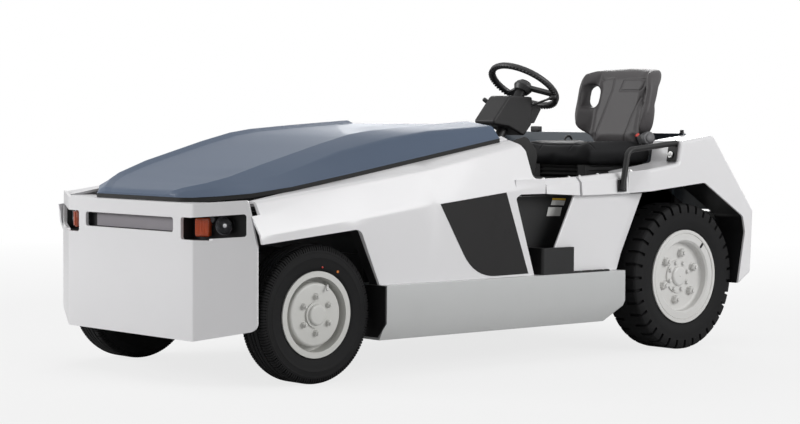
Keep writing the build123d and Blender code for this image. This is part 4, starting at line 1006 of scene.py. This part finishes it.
# Seat fittings: belt reel, buckle, far latch and the backrest's knob
reel = {"place": (0.575, 0.988, 1.004), "axis": (1, -0.25, 0.12),
        "bracketAt": (-0.012, 0.012, -0.045), "bracket": (0.030, 0.046, 0.070), "edge": 0.006,
        "profile": [(-0.022, 0.0), (-0.022, 0.0290), (-0.018, 0.0330), (0.012, 0.0330), (0.016, 0.0300),
                    (0.018, 0.0220), (0.0235, 0.0205), (0.026, 0.0150), (0.027, 0.0)]}
buckle = {"foot": (0.592, 0.930, 0.955), "head": (0.596, 0.902, 1.000), "stem": 0.006,
          "size": (0.015, 0.030, 0.046), "edge": 0.004, "button": (0.011, 0.024, 0.013),
          "buttonEdge": 0.003}
latch = {"radius": 0.0055,
         "path": [(0.118, 0.945, 0.985), (0.116, 0.925, 1.010), (0.118, 0.900, 1.006),
                  (0.122, 0.885, 0.990), (0.122, 0.905, 0.978), (0.119, 0.935, 0.982)]}
backKnob = {"y": 1.062, "z": 1.268, "axis": (-1, 0, 0.15),
            "profile": [(-0.012, 0.0), (-0.012, 0.0080), (0.014, 0.0080), (0.016, 0.0125),
                        (0.025, 0.0140), (0.031, 0.0110), (0.034, 0.0)]}


def makeSeatFittings():
    shape = bmesh.new()
    turned(shape, reel["profile"], facing(reel["place"], reel["axis"]), 40)
    bracketAt = Vector(reel["place"]) + Vector(reel["bracketAt"])
    addBlock(shape, bracketAt, reel["bracket"], reel["edge"])
    finished("belt_reel", shape, "greyPlastic", "chassis")
    foot, head = Vector(buckle["foot"]), Vector(buckle["head"])
    tilt = facing(head, head - foot)
    shape = bmesh.new()
    addTube(shape, smoothPath([foot, (foot + head) / 2, head], 4), buckle["stem"], 10)
    addBlock(shape, head, buckle["size"], buckle["edge"], tilt.to_3x3())
    finished("belt_buckle", shape, "blackPlastic", "chassis")
    shape = bmesh.new()
    top = tilt @ Vector((0, 0, buckle["size"][2] / 2))
    addBlock(shape, top, buckle["button"], buckle["buttonEdge"], tilt.to_3x3())
    finished("belt_button", shape, "redPlastic", "chassis")
    shape = bmesh.new()
    addTube(shape, smoothPath(latch["path"], 5), latch["radius"], 10)
    finished("belt_latch", shape, "blackPlastic", "chassis")
    shape = bmesh.new()
    y, z = backKnob["y"], backKnob["z"]
    place = (hitX(surface("seat_back"), y, z, -1), y, z)
    turned(shape, backKnob["profile"], facing(place, backKnob["axis"]), 24)
    finished("backrest_knob", shape, "wheelGrip", "chassis")


makeSeatFittings()

# Small parts on the cockpit's walls
deckKnob = {"x": 0.602, "y": 1.205,
            "profile": [(-0.002, 0.0), (-0.002, 0.0130), (0.002, 0.0130), (0.004, 0.0095),
                        (0.008, 0.0090), (0.013, 0.0105), (0.016, 0.0080), (0.018, 0.0)]}
wallBox = {"x": -0.395, "y": 1.203, "sink": 0.002, "size": (0.062, 0.026, 0.030), "edge": 0.005}
lining = {"x": 0.609, "thick": 0.010, "edge": 0.002,
          "outline": [(0.047, 0.998), (0.118, 1.016), (0.134, 1.010), (0.190, 0.958), (0.196, 0.925),
                      (0.176, 0.822), (0.126, 0.822), (0.124, 0.935), (0.047, 0.978)]}
beamFlap = {"x": (0.563, 0.752), "y": -0.8285, "z": (0.172, 0.392), "thick": 0.005,
            "corner": (0.052, 0.062), "rim": 0.012, "sink": 0.003}


def makeWallParts():
    wall = surface("rear_wall")
    shape = bmesh.new()
    for side in sides.values():
        x, y = side * deckKnob["x"], deckKnob["y"]
        turned(shape, deckKnob["profile"], Matrix.Translation((x, y, hitZ(wall, x, y))), 24)
    top = hitZ(wall, wallBox["x"], deckKnob["y"])
    middle = top + wallBox["size"][2] / 2 - wallBox["sink"]
    addBlock(shape, (wallBox["x"], wallBox["y"], middle), wallBox["size"], wallBox["edge"])
    finished("rear_wall_knobs", shape, "blackPlastic", "chassis")


makeWallParts()


def makeBeamFlaps(look):  # the black closing plate at each beam's front end
    near, far = look["x"]
    low, high = look["z"]
    cutWide, cutHigh = look["corner"]
    outline = [(near, high), (far, high), (far, low + cutHigh), (far - cutWide, low), (near, low)]
    shape = bmesh.new()
    for side in sides.values():
        face = shape.faces.new([shape.verts.new((side * x, look["y"], z)) for x, z in outline])
        inner = bmesh.ops.inset_region(shape, faces=[face], thickness=look["rim"], depth=0.0)
        raised = bmesh.ops.extrude_face_region(shape, geom=[face, *inner["faces"]])["geom"]
        bmesh.ops.translate(shape, vec=(0, look["thick"], 0), verts=vertsIn(raised))
        bmesh.ops.translate(shape, vec=(0, -look["sink"], 0), verts=face.verts)
    finished("beam_end_plates", shape, "blackSteel", "chassis")


bellows = {"middle": (0.360, 0.790), "half": (0.168, 0.178), "low": 0.823, "high": 0.882, "folds": 3,
           "swing": 0.012, "round": 0.035}
archLiner = {"x": 0.5500, "thick": 0.004,
             "outline": [(0.690, 0.560), (0.690, 0.735), (1.130, 0.772), (1.400, 0.612), (1.420, 0.520),
                         (1.300, 0.545), (1.150, 0.595), (0.960, 0.600), (0.800, 0.560)]}


def makeBellows(look):  # the folded rubber skirt between the seat rails
    shape = bmesh.new()
    x, y = look["middle"]
    wide, deep = look["half"]
    corner = look["round"]
    ring = []
    for cornerX, cornerY, first in ((1, 1, 0), (-1, 1, 90), (-1, -1, 180), (1, -1, 270)):
        for step in range(5):
            turn = math.radians(first + step * 22.5)
            atX = x + cornerX * (wide - corner) + corner * math.cos(turn)
            atY = y + cornerY * (deep - corner) + corner * math.sin(turn)
            ring.append(shape.verts.new((atX, atY, look["low"])))
    edges = [shape.edges.new(pair) for pair in zip(ring, ring[1:] + ring[:1])]
    bmesh.ops.contextual_create(shape, geom=edges)
    levels = look["folds"] * 2
    for level in range(levels):
        made = bmesh.ops.extrude_edge_only(shape, edges=edges)["geom"]
        verts = vertsIn(made)
        edges = edgesIn(made)
        grow = look["swing"] if level % 2 == 0 else -look["swing"]
        bmesh.ops.translate(shape, vec=(0, 0, (look["high"] - look["low"]) / levels), verts=verts)
        bmesh.ops.scale(shape, vec=(1 + grow / wide, 1 + grow / deep, 1), verts=verts,
                        space=Matrix.Translation((-x, -y, 0)))
    bmesh.ops.contextual_create(shape, geom=edges)
    finished("seat_bellows", shape, "blackRubber", "chassis", 60)


def makeArchLiners(look):  # the closing sheet on the inner side of each rear arch
    shape = bmesh.new()
    for side in sides.values():
        addSheet(shape, look["outline"], side * look["x"], -side * look["thick"])
    finished("rear_arch_liners", shape, "blackSteel", "chassis")


def addSheet(shape, outline, x, thick):  # an upright sheet from its (y, z) outline
    face = shape.faces.new([shape.verts.new((x, y, z)) for y, z in outline])
    raised = bmesh.ops.extrude_face_region(shape, geom=[face])["geom"]
    bmesh.ops.translate(shape, vec=(thick, 0, 0), verts=vertsIn(raised))


def makeLinings(look):  # black strips inside the pillars
    shape = bmesh.new()
    for side in sides.values():
        addSheet(shape, look["outline"], side * look["x"], side * look["thick"])
    roundEdges(shape, shape.edges[:], look["edge"])
    finished("pillar_linings", shape, "blackRubber", "chassis")


makeLinings(lining)
makeBeamFlaps(beamFlap)
makeBellows(bellows)
makeArchLiners(archLiner)
print("body dressed")


# Camera, lamps, surround and ground
cameraView = {"place": (7.5438, -6.7424, 1.1160), "lens": 96.79,
              "azimuth": 48.588, "down": 2.6117, "roll": 0.2741}
studio = {
    "noseBox": {"place": (-5.0, -7.2, 3.6), "size": (4.5, 3.0), "power": 410},
    "sideBox": {"place": (7.8, 2.6, 3.4), "size": (5.5, 3.0), "power": 350},
    "topBox": {"place": (0.5, -1.5, 6.5), "size": (7.0, 6.0), "power": 95},
    "rearBox": {"place": (-5.5, 6.5, 3.4), "size": (4.0, 3.0), "power": 240},
}
surround = {"light": 0.26, "seen": 1.0}
ground = {"radius": 60.0, "colour": (0.55, 0.55, 0.55), "glow": 0.78, "near": 3.2, "far": 9.0}


def aimed(place, target):
    turn = (Vector(target) - Vector(place)).to_track_quat("-Z", "Y")
    return Matrix.Translation(place) @ turn.to_matrix().to_4x4()


def makeCamera(look):
    data = bpy.data.cameras.new("camera")
    data.lens = look["lens"]
    data.sensor_width = 36
    data.clip_end = 300
    camera = bpy.data.objects.new("camera", data)
    turn = Matrix.Rotation(math.radians(look["azimuth"]), 4, "Z")
    tip = Matrix.Rotation(math.radians(90 - look["down"]), 4, "X")
    roll = Matrix.Rotation(math.radians(look["roll"]), 4, "Z")
    camera.matrix_world = Matrix.Translation(look["place"]) @ turn @ tip @ roll
    bpy.context.scene.collection.objects.link(camera)
    bpy.context.scene.camera = camera


def makeStudio():
    for name, lamp in studio.items():
        data = bpy.data.lights.new(name, "AREA")
        data.shape = "RECTANGLE"
        data.size, data.size_y = lamp["size"]
        data.energy = lamp["power"]
        box = bpy.data.objects.new(name, data)
        box.matrix_world = aimed(lamp["place"], (0, 0, 0.5))
        bpy.context.scene.collection.objects.link(box)
    world = bpy.data.worlds.new("surround")
    world.use_nodes = True
    bpy.context.scene.world = world
    tree = world.node_tree
    rays = tree.nodes.new("ShaderNodeLightPath")
    seen = rays.outputs["Is Camera Ray"]
    for other in ("Is Transmission Ray", "Is Glossy Ray"):
        either = tree.nodes.new("ShaderNodeMath")
        either.operation = "MAXIMUM"
        tree.links.new(seen, either.inputs[0])
        tree.links.new(rays.outputs[other], either.inputs[1])
        seen = either.outputs[0]
    level = tree.nodes.new("ShaderNodeMapRange")
    level.inputs["To Min"].default_value = surround["light"]
    level.inputs["To Max"].default_value = surround["seen"]
    tree.links.new(seen, level.inputs["Value"])
    background = tree.nodes["Background"]
    background.inputs["Color"].default_value = (1, 1, 1, 1)
    tree.links.new(level.outputs[0], background.inputs["Strength"])
    bpy.context.scene.view_settings.view_transform = "Standard"


def makeGround(look):
    shape = bmesh.new()
    bmesh.ops.create_circle(shape, cap_ends=True, segments=64, radius=look["radius"])
    mesh = bpy.data.meshes.new("ground")
    shape.to_mesh(mesh)
    shape.free()
    floor = bpy.data.objects.new("ground", mesh)
    bpy.context.scene.collection.objects.link(floor)
    finish = Finish("groundPaper", **{"Base Color": (*look["colour"], 1), "Roughness": 0.9})
    away = finish.node("ShaderNodeVectorMath", {"operation": "LENGTH"}, {0: finish.place}, out="Value")
    fade = finish.node("ShaderNodeMapRange", {},
                       {0: away, 1: look["near"], 2: look["far"], 3: look["glow"], 4: 1.0})
    seen = finish.node("ShaderNodeLightPath", out="Is Camera Ray")
    glow = finish.node("ShaderNodeEmission", {}, {"Color": (1, 1, 1, 1), "Strength": 1.0})
    paper = Val(finish, finish.shader.outputs[0])
    mixed = finish.node("ShaderNodeMixShader", {}, {0: seen * fade, 1: paper, 2: glow})
    finish.tree.links.new(mixed.socket, finish.tree.nodes["Material Output"].inputs["Surface"])
    mesh.materials.append(finish.material)


makeCamera(cameraView)
makeStudio()
makeGround(ground)
print("camera, light and ground set")
